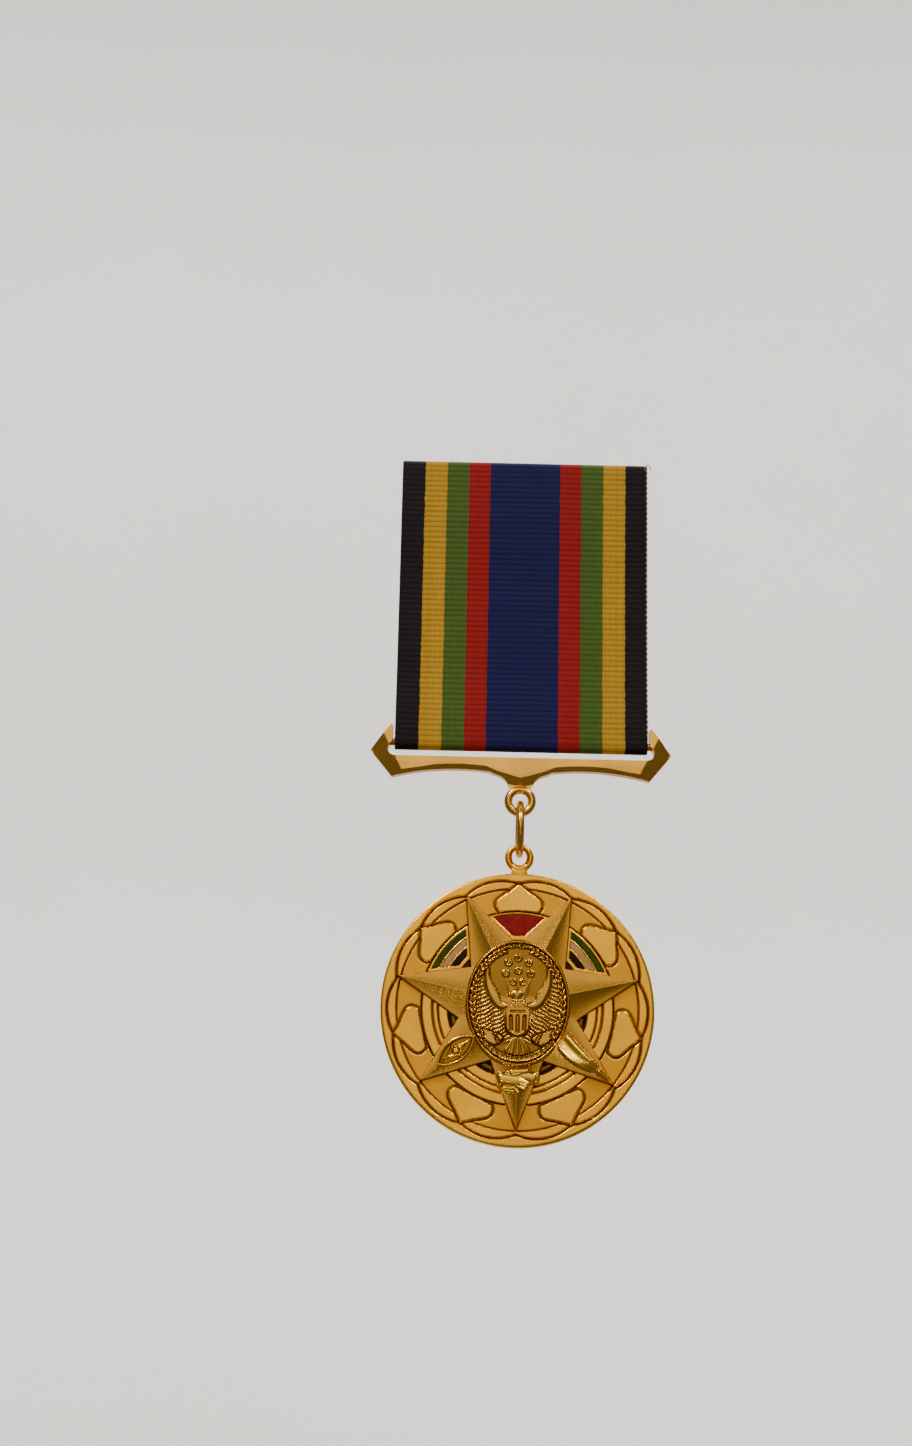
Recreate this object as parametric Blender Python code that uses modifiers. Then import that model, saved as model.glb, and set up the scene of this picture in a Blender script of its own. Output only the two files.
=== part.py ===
"""A military service medal: a pin brooch, a ribbon in two layers, a suspension bar, a ring and a disc
with a seven-pointed star, enamel arcs and small emblems. It hangs as it is worn: +Z up, the front faces
-Y, and the origin is the middle of the brooch plate."""

from math import atan2, cos, pi, radians, sin, sqrt

import bmesh
import bpy
from mathutils import Matrix, Vector

MM = 0.001
GAP = 0.3 * MM  # clearance between pieces that rest on each other
CELL_GAP = 0.12 * MM  # round an enamel piece in its cell

# Ribbon
RIBBON_WIDTH = 38.2 * MM
RIBBON_THICKNESS = 0.45 * MM
RIBBON_TOP = 4.75 * MM
FOLD_TOP = 7.8 * MM  # drop from the ribbon's top to where its layers start to close up
BEND_DROP = 12.0 * MM  # drop to the line where the hanging ribbon bends
BEND_GAP = 0.8 * MM
LAYER_OFFSET = 0.375 * MM  # from the middle to each layer's centre line, where they meet
ROD_DROP = 45.6 * MM
ROD_RADIUS = 0.55 * MM

# Brooch, behind the ribbon's top
PLATE_SIZE = (36.0 * MM, 8.0 * MM)
PLATE_THICKNESS = 0.8 * MM
PIN_PLATE_SIZE = (33.0 * MM, 6.4 * MM)
RIVET_X = 7.0 * MM
RIVET_RADIUS = 0.6 * MM
RIVET_HEAD = 1.15 * MM
HOLE_CLEARANCE = 0.3 * MM
PIN_HINGE_X = -13.0 * MM
PIN_RADIUS = 0.5 * MM
PIN_TIP_X = 15.2 * MM
PIN_TAPER = 4.0 * MM
PIN_Y = 4.2 * MM
KNUCKLE_RADIUS = 1.0 * MM
KNUCKLE_HEIGHT = 2.0 * MM
HINGE_RIVET_RADIUS = 0.38 * MM
HINGE_CLEARANCE = 0.1 * MM
EAR_THICKNESS = 0.8 * MM
CATCH_X = 11.6 * MM
CATCH_WIDTH = 2.2 * MM
CATCH_STRIP = 0.5 * MM

# Suspension bar: drops are below the ribbon's top, widths are from the middle
BAR_THICKNESS = 2.2 * MM
BAR_TOP_DROP = 47.9 * MM
BAR_INNER_X = 19.35 * MM
BAR_TIP = (22.75 * MM, 46.9 * MM)
BAR_HORN = (19.6 * MM, 42.9 * MM)
BAR_FOOT = (19.4 * MM, 51.0 * MM)
NOTCH_RADIUS = 1.15 * MM
BAR_EDGE_DROP = 49.7 * MM  # the lower edge where the bar is narrowest
BAR_EDGE_X = 9.5 * MM
BAR_EDGE_RISE = 1.3 * MM
BAR_NECK = ((4.0 * MM, 50.35 * MM), (2.9 * MM, 50.75 * MM), (2.15 * MM, 51.4 * MM), (1.75 * MM, 52.2 * MM))
BAR_NECK_END = (1.4 * MM, 52.5 * MM)
ROD_END_X = 20.4 * MM

# Eyes and ring
UPPER_EYE_DROP = 54.4 * MM
UPPER_EYE = (1.375 * MM, 2.375 * MM)  # inner and outer radius
LOWER_EYE_DROP = 63.1 * MM
LOWER_EYE = (1.5 * MM, 2.125 * MM)
EYE_HALF_DEPTH = 0.65 * MM
RING_WIRE = 0.55 * MM  # radius

# Disc: heights are above its middle plane, towards the front
DISC_DROP = 85.6 * MM
DISC_RADIUS = 20.0 * MM
DISC_HALF = 1.1 * MM
FIELD = 0.7 * MM
BAND = (10.0 * MM, 14.2 * MM)
BAND_HEIGHT = 1.05 * MM
RIM_INNER = 19.3 * MM
NECK_HALF_WIDTH = 1.3 * MM
# Each point of a petal's edge: the distance from the disc's middle, and half the petal's width there
PETAL_SHAPE = ((14.5, 3.2), (15.4, 3.5), (16.1, 3.15), (17.0, 1.95), (17.8, 0.9), (18.5, 0.0))
PETAL_HEIGHT = 1.0 * MM
CELL_FLOOR = 0.55 * MM
CELL_MARGIN = 0.45 * MM  # from a cell's end to the star's edge

# Star and emblems on the disc
ARMS = 7
STAR_TIP = 18.1 * MM
STAR_INNER = 8.95 * MM
STAR_RISE = 0.35 * MM  # the star's centre above the disc's
STAR_BASE = 1.0 * MM
STAR_EDGE = 1.6 * MM
STAR_SLOPE = 0.35 * MM  # how far the star's side leans in
STAR_PEAK = 2.8 * MM
EMBLEM_HALF = (7.45 * MM, 9.1 * MM)
EMBLEM_RISE = 1.0 * MM  # the emblem's centre above the disc's
EMBLEM_TOP = 2.75 * MM
EMBLEM_RELIEF = 3.1 * MM
CHARGE_THICKNESS = 0.45 * MM  # the small emblems on the star's ridges
ENAMEL_TOP = 0.98 * MM
ENAMEL_RINGS = {
    "black": (10.6 * MM, 11.4 * MM),
    "white": (11.85 * MM, 12.6 * MM),
    "green": (13.0 * MM, 13.75 * MM),
}
RED_RING = (10.8 * MM, 13.75 * MM)

FACING_FRONT = Matrix.Rotation(pi / 2, 4, "X")  # local X, Y, Z to +X, +Z, -Y
FACING_BACK = Matrix.Rotation(-pi / 2, 4, "X")  # local Z to +Y
ALONG_X = Matrix.Rotation(pi / 2, 4, "Z") @ Matrix.Rotation(pi / 2, 4, "X")  # local X, Y, Z to +Y, +Z, +X
UPRIGHT = Matrix.Identity(4)


def below_top(drop):
    """The height of a point that lies this far below the ribbon's top."""
    return RIBBON_TOP - drop


def clear_scene():
    for old in list(bpy.data.objects):
        bpy.data.objects.remove(old, do_unlink=True)


def collection(name):
    made = bpy.data.collections.new(name)
    bpy.context.scene.collection.children.link(made)
    return made


def metal(name, colour, roughness=0.3, metallic=1.0):
    made = bpy.data.materials.new(name)
    made.use_nodes = True
    shader = made.node_tree.nodes["Principled BSDF"]
    shader.inputs["Base Color"].default_value = (*colour, 1.0)
    shader.inputs["Roughness"].default_value = roughness
    shader.inputs["Metallic"].default_value = metallic
    made.diffuse_color = (*colour, 1.0)
    return made


def add(name, mesh, place, group, material=None, turn=UPRIGHT, smooth_deg=35):
    """An object of this mesh, turned and then moved to its place."""
    piece = bpy.data.objects.new(name, mesh)
    piece.matrix_world = Matrix.Translation(place) @ turn
    group.objects.link(piece)
    if material:
        mesh.materials.append(material)
    mesh.shade_smooth()
    mesh.set_sharp_from_angle(angle=radians(smooth_deg))
    return piece


def outline_mesh(name, loops, low, high, bevel=0.0):
    """Flat outlines, the outer one first, filled and extruded from low to high along local Z."""
    curve = bpy.data.curves.new(name, "CURVE")
    curve.dimensions = "2D"
    curve.fill_mode = "BOTH"
    curve.extrude = (high - low) / 2 - bevel
    curve.bevel_depth = bevel
    curve.bevel_resolution = 0
    curve.offset = -bevel
    for loop in loops:
        spline = curve.splines.new("POLY")
        spline.points.add(len(loop) - 1)
        for point, (u, v) in zip(spline.points, loop):
            point.co = (u, v, 0.0, 1.0)
        spline.use_cyclic_u = True
    guide = bpy.data.objects.new(name, curve)
    bpy.context.scene.collection.objects.link(guide)
    bpy.context.view_layer.update()
    seen = guide.evaluated_get(bpy.context.evaluated_depsgraph_get())
    mesh = bpy.data.meshes.new_from_object(seen)
    bpy.data.objects.remove(guide, do_unlink=True)
    body = bmesh.new()
    body.from_mesh(mesh)
    bmesh.ops.remove_doubles(body, verts=body.verts, dist=0.001 * MM)
    bmesh.ops.translate(body, verts=body.verts, vec=(0, 0, (low + high) / 2))
    bmesh.ops.recalc_face_normals(body, faces=body.faces)
    body.to_mesh(mesh)
    body.free()
    return mesh


def turned_mesh(name, profile, steps, closed=False):
    """A profile of (radius, height) points, down its outer side, turned about local Z."""
    body = bmesh.new()
    corners = [body.verts.new((radius, 0, height)) for radius, height in profile]
    for first, second in zip(corners, corners[1:] + corners[:1] if closed else corners[1:]):
        body.edges.new((first, second))
    mesh = bpy.data.meshes.new(name)
    body.to_mesh(mesh)
    body.free()
    guide = bpy.data.objects.new(name, mesh)
    bpy.context.scene.collection.objects.link(guide)
    screw = guide.modifiers.new("turn", "SCREW")
    screw.steps = steps
    screw.render_steps = steps
    screw.use_merge_vertices = True
    screw.merge_threshold = 0.001 * MM
    bpy.context.view_layer.update()
    seen = guide.evaluated_get(bpy.context.evaluated_depsgraph_get())
    turned = bpy.data.meshes.new_from_object(seen)
    bpy.data.objects.remove(guide, do_unlink=True)
    return turned


def cylinder_mesh(name, radius, low, high, segments=20):
    body = bmesh.new()
    sizes = {"radius1": radius, "radius2": radius, "depth": high - low}
    bmesh.ops.create_cone(body, cap_ends=True, segments=segments, **sizes)
    bmesh.ops.translate(body, verts=body.verts, vec=(0, 0, (low + high) / 2))
    mesh = bpy.data.meshes.new(name)
    body.to_mesh(mesh)
    body.free()
    return mesh


def block_mesh(name, size):
    body = bmesh.new()
    bmesh.ops.create_cube(body, size=1.0)
    bmesh.ops.scale(body, verts=body.verts, vec=size)
    mesh = bpy.data.meshes.new(name)
    body.to_mesh(mesh)
    body.free()
    return mesh


def combine(piece, other, operation):
    """A Boolean on this piece with a guide object, which stays in the cutters' collection."""
    other.hide_render = True
    other.display_type = "WIRE"
    step = piece.modifiers.new(other.name, "BOOLEAN")
    step.operation = operation
    step.object = other
    step.solver = "EXACT"


def cut(piece, other):
    combine(piece, other, "DIFFERENCE")


def join(piece, other):
    combine(piece, other, "UNION")


def arc(centre, radius, start_deg, end_deg, steps):
    """Points along an arc, both ends included."""
    turns = [radians(start_deg + (end_deg - start_deg) * i / steps) for i in range(steps + 1)]
    return [(centre[0] + radius * cos(t), centre[1] + radius * sin(t)) for t in turns]


def rounded_rectangle(width, height, radius, steps=4):
    x, y = width / 2 - radius, height / 2 - radius
    corners = ((x, y, 0), (-x, y, 90), (-x, -y, 180), (x, -y, 270))
    return [p for cx, cy, start in corners for p in arc((cx, cy), radius, start, start + 90, steps)]


def ellipse(half_width, half_height, steps, centre=(0.0, 0.0)):
    turns = [2 * pi * i / steps for i in range(steps)]
    return [(centre[0] + half_width * cos(t), centre[1] + half_height * sin(t)) for t in turns]


def strip_outline(path, thickness):
    """The closed outline of a strip of this thickness along an open path, with mitred bends."""
    points = [Vector(p) for p in path]
    sides = ([], [])
    for i, point in enumerate(points):
        before = (point - points[i - 1]).normalized() if i else (points[1] - point).normalized()
        after = (points[i + 1] - point).normalized() if i + 1 < len(points) else before
        normal = Vector((-before.y - after.y, before.x + after.x)).normalized()
        reach = thickness / 2 / max(normal.dot(Vector((-before.y, before.x))), 0.5)
        sides[0].append(tuple(point + normal * reach))
        sides[1].append(tuple(point - normal * reach))
    return sides[0] + sides[1][::-1]


def ring_section(middle, half_width, half_depth, steps):
    """A closed ring's cross-section, going down its outer side."""
    turns = [pi / 2 - 2 * pi * i / steps for i in range(steps)]
    return [(middle + half_width * cos(t), half_depth * sin(t)) for t in turns]


# Brooch


def ribbon_head(group, cutters, material):
    """The ribbon's top, folded over the brooch plate; both layers close up below it."""
    fold = PLATE_THICKNESS / 2 + GAP + RIBBON_THICKNESS / 2
    crown = RIBBON_TOP - RIBBON_THICKNESS / 2 - fold
    end = below_top(BEND_DROP) + BEND_GAP / 2
    side = [(LAYER_OFFSET, end), (LAYER_OFFSET, end + 1.4 * MM), (fold, below_top(FOLD_TOP) - 1.0 * MM)]
    path = side + arc((0, crown), fold, 0, 180, 10) + [(-y, z) for y, z in side[::-1]]
    half = RIBBON_WIDTH / 2
    mesh = outline_mesh("ribbon_head", [strip_outline(path, RIBBON_THICKNESS)], -half, half)
    head = add("ribbon_head", mesh, (0, 0, 0), group, material, ALONG_X)
    for side_name, x in (("left", -RIVET_X), ("right", RIVET_X)):
        hole = cylinder_mesh("hole", RIVET_RADIUS + HOLE_CLEARANCE, 0.1 * MM, 2.0 * MM)
        cut(head, add("ribbon_hole_" + side_name, hole, (x, 0, 0), cutters, turn=FACING_BACK))


def brooch_plates(group, materials):
    """The plate in the ribbon's fold and the pin plate behind it, with holes for the rivets."""
    hole = RIVET_RADIUS + HOLE_CLEARANCE
    holes = [ellipse(hole, hole, 16, (x, 0)) for x in (-RIVET_X, RIVET_X)]
    half = PLATE_THICKNESS / 2
    loops = [rounded_rectangle(*PLATE_SIZE, 0.8 * MM)] + holes
    mesh = outline_mesh("brooch_plate", loops, -half, half, bevel=0.15 * MM)
    add("brooch_plate", mesh, (0, 0, 0), group, materials["brass"], FACING_FRONT)
    front = pin_plate_front()
    loops = [rounded_rectangle(*PIN_PLATE_SIZE, 1.6 * MM)] + holes
    mesh = outline_mesh("pin_plate", loops, 0, PLATE_THICKNESS, bevel=0.12 * MM)
    add("pin_plate", mesh, (0, front, 0), group, materials["brass"], FACING_BACK)


def pin_plate_front():
    """The pin plate's front face, behind the ribbon's back layer."""
    return PLATE_THICKNESS / 2 + GAP + RIBBON_THICKNESS + GAP


def fitting_base():
    """Where the hinge block, the catch and the rivet heads stand, behind the pin plate."""
    return pin_plate_front() + PLATE_THICKNESS + GAP


def brooch_rivets(group, materials):
    shank_end = -PLATE_THICKNESS / 2 + 0.1 * MM
    seat = fitting_base()
    profile = [
        (0, seat + 0.6 * MM),
        (0.6 * MM, seat + 0.5 * MM),
        (0.95 * MM, seat + 0.3 * MM),
        (RIVET_HEAD, seat),
        (RIVET_RADIUS, seat),
        (RIVET_RADIUS, shank_end),
        (0, shank_end),
    ]
    for side_name, x in (("left", -RIVET_X), ("right", RIVET_X)):
        mesh = turned_mesh("brooch_rivet", profile, 16)
        add("brooch_rivet_" + side_name, mesh, (x, 0, 0), group, materials["brass"], FACING_BACK)


def pin_hinge(group, cutters, materials):
    """The clevis on the pin plate and the small rivet that the pin turns on."""
    seat = fitting_base()
    inner = KNUCKLE_HEIGHT / 2 + GAP
    outer = inner + EAR_THICKNESS
    ear = [(-1.5 * MM, seat), (1.5 * MM, seat)] + arc((0, PIN_Y), 1.2 * MM, 20, 160, 8)
    block = add(
        "pin_hinge_block",
        outline_mesh("pin_hinge_block", [ear], -outer, outer),
        (PIN_HINGE_X, 0, 0),
        group,
        materials["brass"],
    )
    slot = block_mesh("slot", (5.0 * MM, 4.0 * MM, 2 * inner))
    slot_centre = (PIN_HINGE_X, seat + 0.45 * MM + 2.0 * MM, 0)
    cut(block, add("hinge_slot", slot, slot_centre, cutters))
    bore = cylinder_mesh("bore", HINGE_RIVET_RADIUS + HINGE_CLEARANCE, -2 * outer, 2 * outer, 16)
    cut(block, add("hinge_bore", bore, (PIN_HINGE_X, PIN_Y, 0), cutters))
    reach = outer + HINGE_CLEARANCE
    head = HINGE_RIVET_RADIUS + 0.35 * MM
    profile = [
        (0, reach + 0.35 * MM),
        (0.4 * MM, reach + 0.3 * MM),
        (head, reach),
        (HINGE_RIVET_RADIUS, reach),
        (HINGE_RIVET_RADIUS, -reach),
        (head, -reach),
        (0.4 * MM, -reach - 0.3 * MM),
        (0, -reach - 0.35 * MM),
    ]
    mesh = turned_mesh("pin_hinge_rivet", profile, 16)
    add("pin_hinge_rivet", mesh, (PIN_HINGE_X, PIN_Y, 0), group, materials["brass"])


def brooch_pin(group, cutters, materials):
    """The pin: a knuckle with a bore, and a straight wire that tapers to its point."""
    length = PIN_TIP_X - PIN_HINGE_X
    profile = [
        (0, length),
        (0.08 * MM, length),
        (PIN_RADIUS * 0.7, length - PIN_TAPER / 2),
        (PIN_RADIUS, length - PIN_TAPER),
        (PIN_RADIUS, 0.75 * MM),
        (0, 0.75 * MM),
    ]
    along_pin = Matrix.Rotation(pi / 2, 4, "Y")  # local Z to +X
    pin = add(
        "brooch_pin",
        turned_mesh("brooch_pin", profile, 14),
        (PIN_HINGE_X, PIN_Y, 0),
        group,
        materials["steel"],
        along_pin,
    )
    half = KNUCKLE_HEIGHT / 2
    knuckle = cylinder_mesh("knuckle", KNUCKLE_RADIUS, -half, half, 24)
    join(pin, add("pin_knuckle", knuckle, (PIN_HINGE_X, PIN_Y, 0), cutters))
    bore = cylinder_mesh("pin_bore", HINGE_RIVET_RADIUS + HINGE_CLEARANCE, -2 * half, 2 * half, 16)
    cut(pin, add("pin_bore", bore, (PIN_HINGE_X, PIN_Y, 0), cutters))


def pin_catch(group, materials):
    """A bent spring clip, open to the back, that the pin's end snaps into."""
    foot = fitting_base() + CATCH_STRIP / 2
    lips = [(PIN_Y + 1.1 * MM, 1.2 * MM), (PIN_Y + 0.65 * MM, 0.95 * MM), (PIN_Y + 0.1 * MM, 1.2 * MM)]
    path = lips + [(foot, 1.2 * MM), (foot, -1.2 * MM)] + [(y, -z) for y, z in lips[::-1]]
    half = CATCH_WIDTH / 2
    mesh = outline_mesh("pin_catch", [strip_outline(path, CATCH_STRIP)], -half, half)
    add("pin_catch", mesh, (CATCH_X, 0, 0), group, materials["brass"], ALONG_X)


def seam_thread(group, materials):
    """The line of thread that closes the ribbon's loop at the back, below the pin plate."""
    back = LAYER_OFFSET + RIBBON_THICKNESS / 2 + GAP + 0.15 * MM
    mesh = cylinder_mesh("seam_thread", 0.15 * MM, -17.0 * MM, 17.0 * MM, 8)
    along = Matrix.Rotation(pi / 2, 4, "Y")
    height = below_top(BEND_DROP) + BEND_GAP / 2 + 0.7 * MM
    add("seam_thread", mesh, (0, back, height), group, materials["thread"], along)


# Hanging ribbon and bar


def ribbon_drape(group, material):
    """The ribbon below its bend: two layers, down to the loop round the rod."""
    loop = ROD_RADIUS + 0.2 * MM + RIBBON_THICKNESS / 2
    rod = below_top(ROD_DROP)
    start = below_top(BEND_DROP) - BEND_GAP / 2
    side = [(LAYER_OFFSET, start), (LAYER_OFFSET, rod + 4.5 * MM), (loop, rod + 0.6 * MM)]
    path = side + arc((0, rod), loop, 0, -180, 12) + [(-y, z) for y, z in side[::-1]]
    half = RIBBON_WIDTH / 2
    mesh = outline_mesh("ribbon_drape", [strip_outline(path, RIBBON_THICKNESS)], -half, half)
    add("ribbon_drape", mesh, (0, 0, 0), group, material, ALONG_X)


def lower_edge(x):
    """The height of the bar's lower edge: a shallow arc on each side of the middle."""
    rise = BAR_EDGE_RISE * ((x - BAR_EDGE_X) / (BAR_FOOT[0] - BAR_EDGE_X)) ** 2
    return below_top(BAR_EDGE_DROP + rise)


def bar_outline():
    """The bar seen from the front: arrow ends, a straight top and a neck above the eye."""
    top = below_top(BAR_TOP_DROP)
    notch = (BAR_INNER_X - 0.4 * MM, top + NOTCH_RADIUS)
    right = [(0.0, top)]
    right += arc(notch, NOTCH_RADIUS, -90, 68, 10)
    right += [(BAR_INNER_X, below_top(BAR_HORN[1] + 0.4 * MM)), (BAR_HORN[0], below_top(BAR_HORN[1]))]
    right += [(BAR_TIP[0], below_top(BAR_TIP[1])), (BAR_FOOT[0], below_top(BAR_FOOT[1]))]
    span = BAR_FOOT[0] - BAR_NECK[0][0]
    right += [(x, lower_edge(x)) for x in (BAR_FOOT[0] - span * i / 8 for i in range(1, 8))]
    right += [(x, below_top(drop)) for x, drop in BAR_NECK + (BAR_NECK_END,)]
    left = [(-x, z) for x, z in right[:0:-1]]
    return right + left


def suspension_bar(group, cutters, materials):
    half = BAR_THICKNESS / 2
    mesh = outline_mesh("suspension_bar", [bar_outline()], -half, half)
    bar = add("suspension_bar", mesh, (0, 0, 0), group, materials["gold"], FACING_FRONT)
    inner, outer = UPPER_EYE
    section = ring_section((inner + outer) / 2, (outer - inner) / 2, EYE_HALF_DEPTH, 10)
    eye = turned_mesh("upper_eye", section, 28, closed=True)
    join(bar, add("upper_eye", eye, (0, 0, below_top(UPPER_EYE_DROP)), cutters, turn=FACING_FRONT))
    along = Matrix.Rotation(pi / 2, 4, "Y")
    seat = ROD_END_X + GAP
    for side_name, low, high in (("left", -seat, -seat + 3 * MM), ("right", seat - 3 * MM, seat)):
        hole = cylinder_mesh("rod_seat", ROD_RADIUS + 0.2 * MM, low, high, 16)
        cut(bar, add("rod_seat_" + side_name, hole, (0, 0, below_top(ROD_DROP)), cutters, turn=along))


def ribbon_rod(group, materials):
    mesh = cylinder_mesh("ribbon_rod", ROD_RADIUS, -ROD_END_X, ROD_END_X, 14)
    along = Matrix.Rotation(pi / 2, 4, "Y")
    add("ribbon_rod", mesh, (0, 0, below_top(ROD_DROP)), group, materials["gold"], along)


def ring_heights():
    """The heights of the ring's wire where it lies in the upper eye and in the lower eye."""
    slack = GAP + RING_WIRE
    upper = below_top(UPPER_EYE_DROP) - UPPER_EYE[0] + slack
    lower = below_top(LOWER_EYE_DROP) + LOWER_EYE[0] - slack
    return upper, lower


def jump_ring(group, materials):
    upper, lower = ring_heights()
    section = ring_section((upper - lower) / 2, RING_WIRE, RING_WIRE, 10)
    mesh = turned_mesh("jump_ring", section, 32, closed=True)
    facing_side = Matrix.Rotation(pi / 2, 4, "Y")
    add("jump_ring", mesh, (0, 0, (upper + lower) / 2), group, materials["gold"], facing_side)


# Disc


def arm_angle(k):
    """The direction of the star's arm k, in degrees; arm 0 points straight down."""
    return -90 + 360 * k / ARMS


def star_corner(radius, k):
    """The star's tip, or with a half k its inner corner, at this radius."""
    turn = radians(arm_angle(k))
    return Vector((radius * cos(turn), STAR_RISE + radius * sin(turn)))


def edge_angle(radius, tip, inner):
    """The direction in which a star's edge is at this radius from the disc's middle, in radians."""
    run = inner - tip
    a, b, c = run.length_squared, 2 * tip.dot(run), tip.length_squared - radius**2
    point = tip + run * (-b - sqrt(b * b - 4 * a * c)) / (2 * a)
    return atan2(point.y, point.x) % (2 * pi)


def cell_arc(radius, space, margin, steps=8):
    """Points on a circle round the disc's middle, from one arm's edge to the next arm's."""
    inner = star_corner(STAR_INNER, space + 0.5)
    start = edge_angle(radius, star_corner(STAR_TIP, space), inner) + margin / radius
    end = edge_angle(radius, star_corner(STAR_TIP, space + 1), inner) - margin / radius
    turns = [start + (end - start) * i / steps for i in range(steps + 1)]
    return [(radius * cos(t), radius * sin(t)) for t in turns]


def cell_outline(ring, space, shrink):
    """An arc-shaped cell in the space after arm number space, its ends following the arms' edges."""
    low, high = ring[0] + shrink, ring[1] - shrink
    margin = CELL_MARGIN + shrink
    return cell_arc(high, space, margin) + cell_arc(low, space, margin)[::-1]


def enamel_cells():
    """Each enamel piece's name, colour, ring and space between arms."""
    cells = [("enamel_red_top", "red", RED_RING, 3)]
    for side_name, space in (("left", 4), ("right", 2)):
        for colour, ring in ENAMEL_RINGS.items():
            cells.append((f"enamel_{colour}_{side_name}", colour, ring, space))
    return cells


def star_outline(grow):
    """The star's outline, moved outwards by grow."""
    edge = Vector((STAR_INNER * cos(pi / ARMS) - STAR_TIP, STAR_INNER * sin(pi / ARMS)))
    distance = abs(STAR_TIP * edge.y) / edge.length  # from the centre to an edge's line
    scale = (distance + grow) / distance
    corners = ((STAR_TIP, 0.0), (STAR_INNER, 0.5))
    return [tuple(star_corner(radius * scale, k + part)) for k in range(ARMS) for radius, part in corners]


def petal_outline(middle_deg):
    """One ogee petal between two arms, its point towards the rim."""
    turn = Matrix.Rotation(radians(middle_deg), 2)
    right = [Vector((radius * MM, -half * MM)) for radius, half in PETAL_SHAPE]
    left = [Vector((p.x, -p.y)) for p in right[-2::-1]]
    return [tuple(turn @ p) for p in right + left]


def medal_disc(group, cutters, materials):
    """The disc with its rim, raised band, petals, enamel cells, neck and eye."""
    centre = (0, 0, below_top(DISC_DROP))
    profile = [
        (0, FIELD),
        (BAND[0], FIELD),
        (BAND[0] + 0.1 * MM, BAND_HEIGHT),
        (BAND[1] - 0.1 * MM, BAND_HEIGHT),
        (BAND[1], FIELD),
        (RIM_INNER - 0.3 * MM, FIELD),
        (RIM_INNER, DISC_HALF),
        (DISC_RADIUS - 0.25 * MM, DISC_HALF),
        (DISC_RADIUS, DISC_HALF - 0.25 * MM),
        (DISC_RADIUS, 0.25 * MM - DISC_HALF),
        (DISC_RADIUS - 0.25 * MM, -DISC_HALF),
        (0, -DISC_HALF),
    ]
    mesh = turned_mesh("medal_disc", profile, 72)
    disc = add("medal_disc", mesh, centre, group, materials["gold"], FACING_FRONT)
    pocket = outline_mesh("star_pocket", [star_outline(GAP)], FIELD - 0.06 * MM, 3 * MM)
    cut(disc, add("star_pocket", pocket, centre, cutters, turn=FACING_FRONT))
    for name, colour, ring, space in enamel_cells():
        cell = outline_mesh(name, [cell_outline(ring, space, 0.0)], CELL_FLOOR, 3 * MM)
        cut(disc, add(name + "_cell", cell, centre, cutters, turn=FACING_FRONT))
    for k in range(ARMS):
        petal = outline_mesh("petal", [petal_outline(arm_angle(k + 0.5))], 0.0, PETAL_HEIGHT)
        join(disc, add(f"petal_{k}", petal, centre, cutters, turn=FACING_FRONT))
    inner, outer = LOWER_EYE
    section = ring_section((inner + outer) / 2, (outer - inner) / 2, EYE_HALF_DEPTH, 8)
    eye = turned_mesh("lower_eye", section, 28, closed=True)
    join(disc, add("lower_eye", eye, (0, 0, below_top(LOWER_EYE_DROP)), cutters, turn=FACING_FRONT))
    foot = below_top(LOWER_EYE_DROP) - (inner + outer) / 2
    neck_size = (2 * NECK_HALF_WIDTH, 2 * EYE_HALF_DEPTH - 0.1 * MM, 1.6 * MM)
    neck = block_mesh("neck", neck_size)
    join(disc, add("disc_neck", neck, (0, 0, foot - neck_size[2] / 2), cutters))


def enamel(group, materials):
    centre = (0, 0, below_top(DISC_DROP))
    for name, colour, ring, space in enamel_cells():
        loop = cell_outline(ring, space, CELL_GAP)
        mesh = outline_mesh(name, [loop], CELL_FLOOR + CELL_GAP, ENAMEL_TOP)
        add(name, mesh, centre, group, materials[colour], FACING_FRONT)


def medal_star(group, cutters, materials):
    """A star with leaning sides, whose arms are two-faced ridges, open in the middle for the emblem."""
    body = bmesh.new()
    height = STAR_PEAK - STAR_EDGE
    bmesh.ops.create_cone(body, cap_ends=True, segments=2 * ARMS, radius1=STAR_TIP, radius2=0.0, depth=height)
    bmesh.ops.remove_doubles(body, verts=body.verts, dist=0.001 * MM)
    rim = [v for v in body.verts if v.co.z < 0]
    place_corners(rim, star_outline(-STAR_SLOPE), STAR_EDGE)
    for peak in (v for v in body.verts if v not in rim):
        peak.co = (0, STAR_RISE, STAR_PEAK)
    floor = [f for f in body.faces if len(f.verts) == 2 * ARMS]
    made = bmesh.ops.extrude_face_region(body, geom=floor)["geom"]
    place_corners([g for g in made if isinstance(g, bmesh.types.BMVert)], star_outline(0), STAR_BASE)
    bmesh.ops.delete(body, geom=[f for f in floor if f.is_valid], context="FACES_ONLY")
    bmesh.ops.recalc_face_normals(body, faces=body.faces)
    mesh = bpy.data.meshes.new("medal_star")
    body.to_mesh(mesh)
    body.free()
    centre = (0, 0, below_top(DISC_DROP))
    star = add("medal_star", mesh, centre, group, materials["gold"], FACING_FRONT, smooth_deg=5)
    opening = ellipse(EMBLEM_HALF[0] + GAP, EMBLEM_HALF[1] + GAP, 40, (0, EMBLEM_RISE))
    hole = outline_mesh("emblem_opening", [opening], 0.0, 4 * MM)
    cut(star, add("emblem_opening", hole, centre, cutters, turn=FACING_FRONT))


def place_corners(corners, outline, height):
    """Moves a ring of corners to an outline's points, matched by direction."""
    corners = sorted(corners, key=lambda v: atan2(v.co.y, v.co.x))
    for corner, (x, y) in zip(corners, sorted(outline, key=lambda p: atan2(p[1], p[0]))):
        corner.co = (x, y, height)


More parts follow.
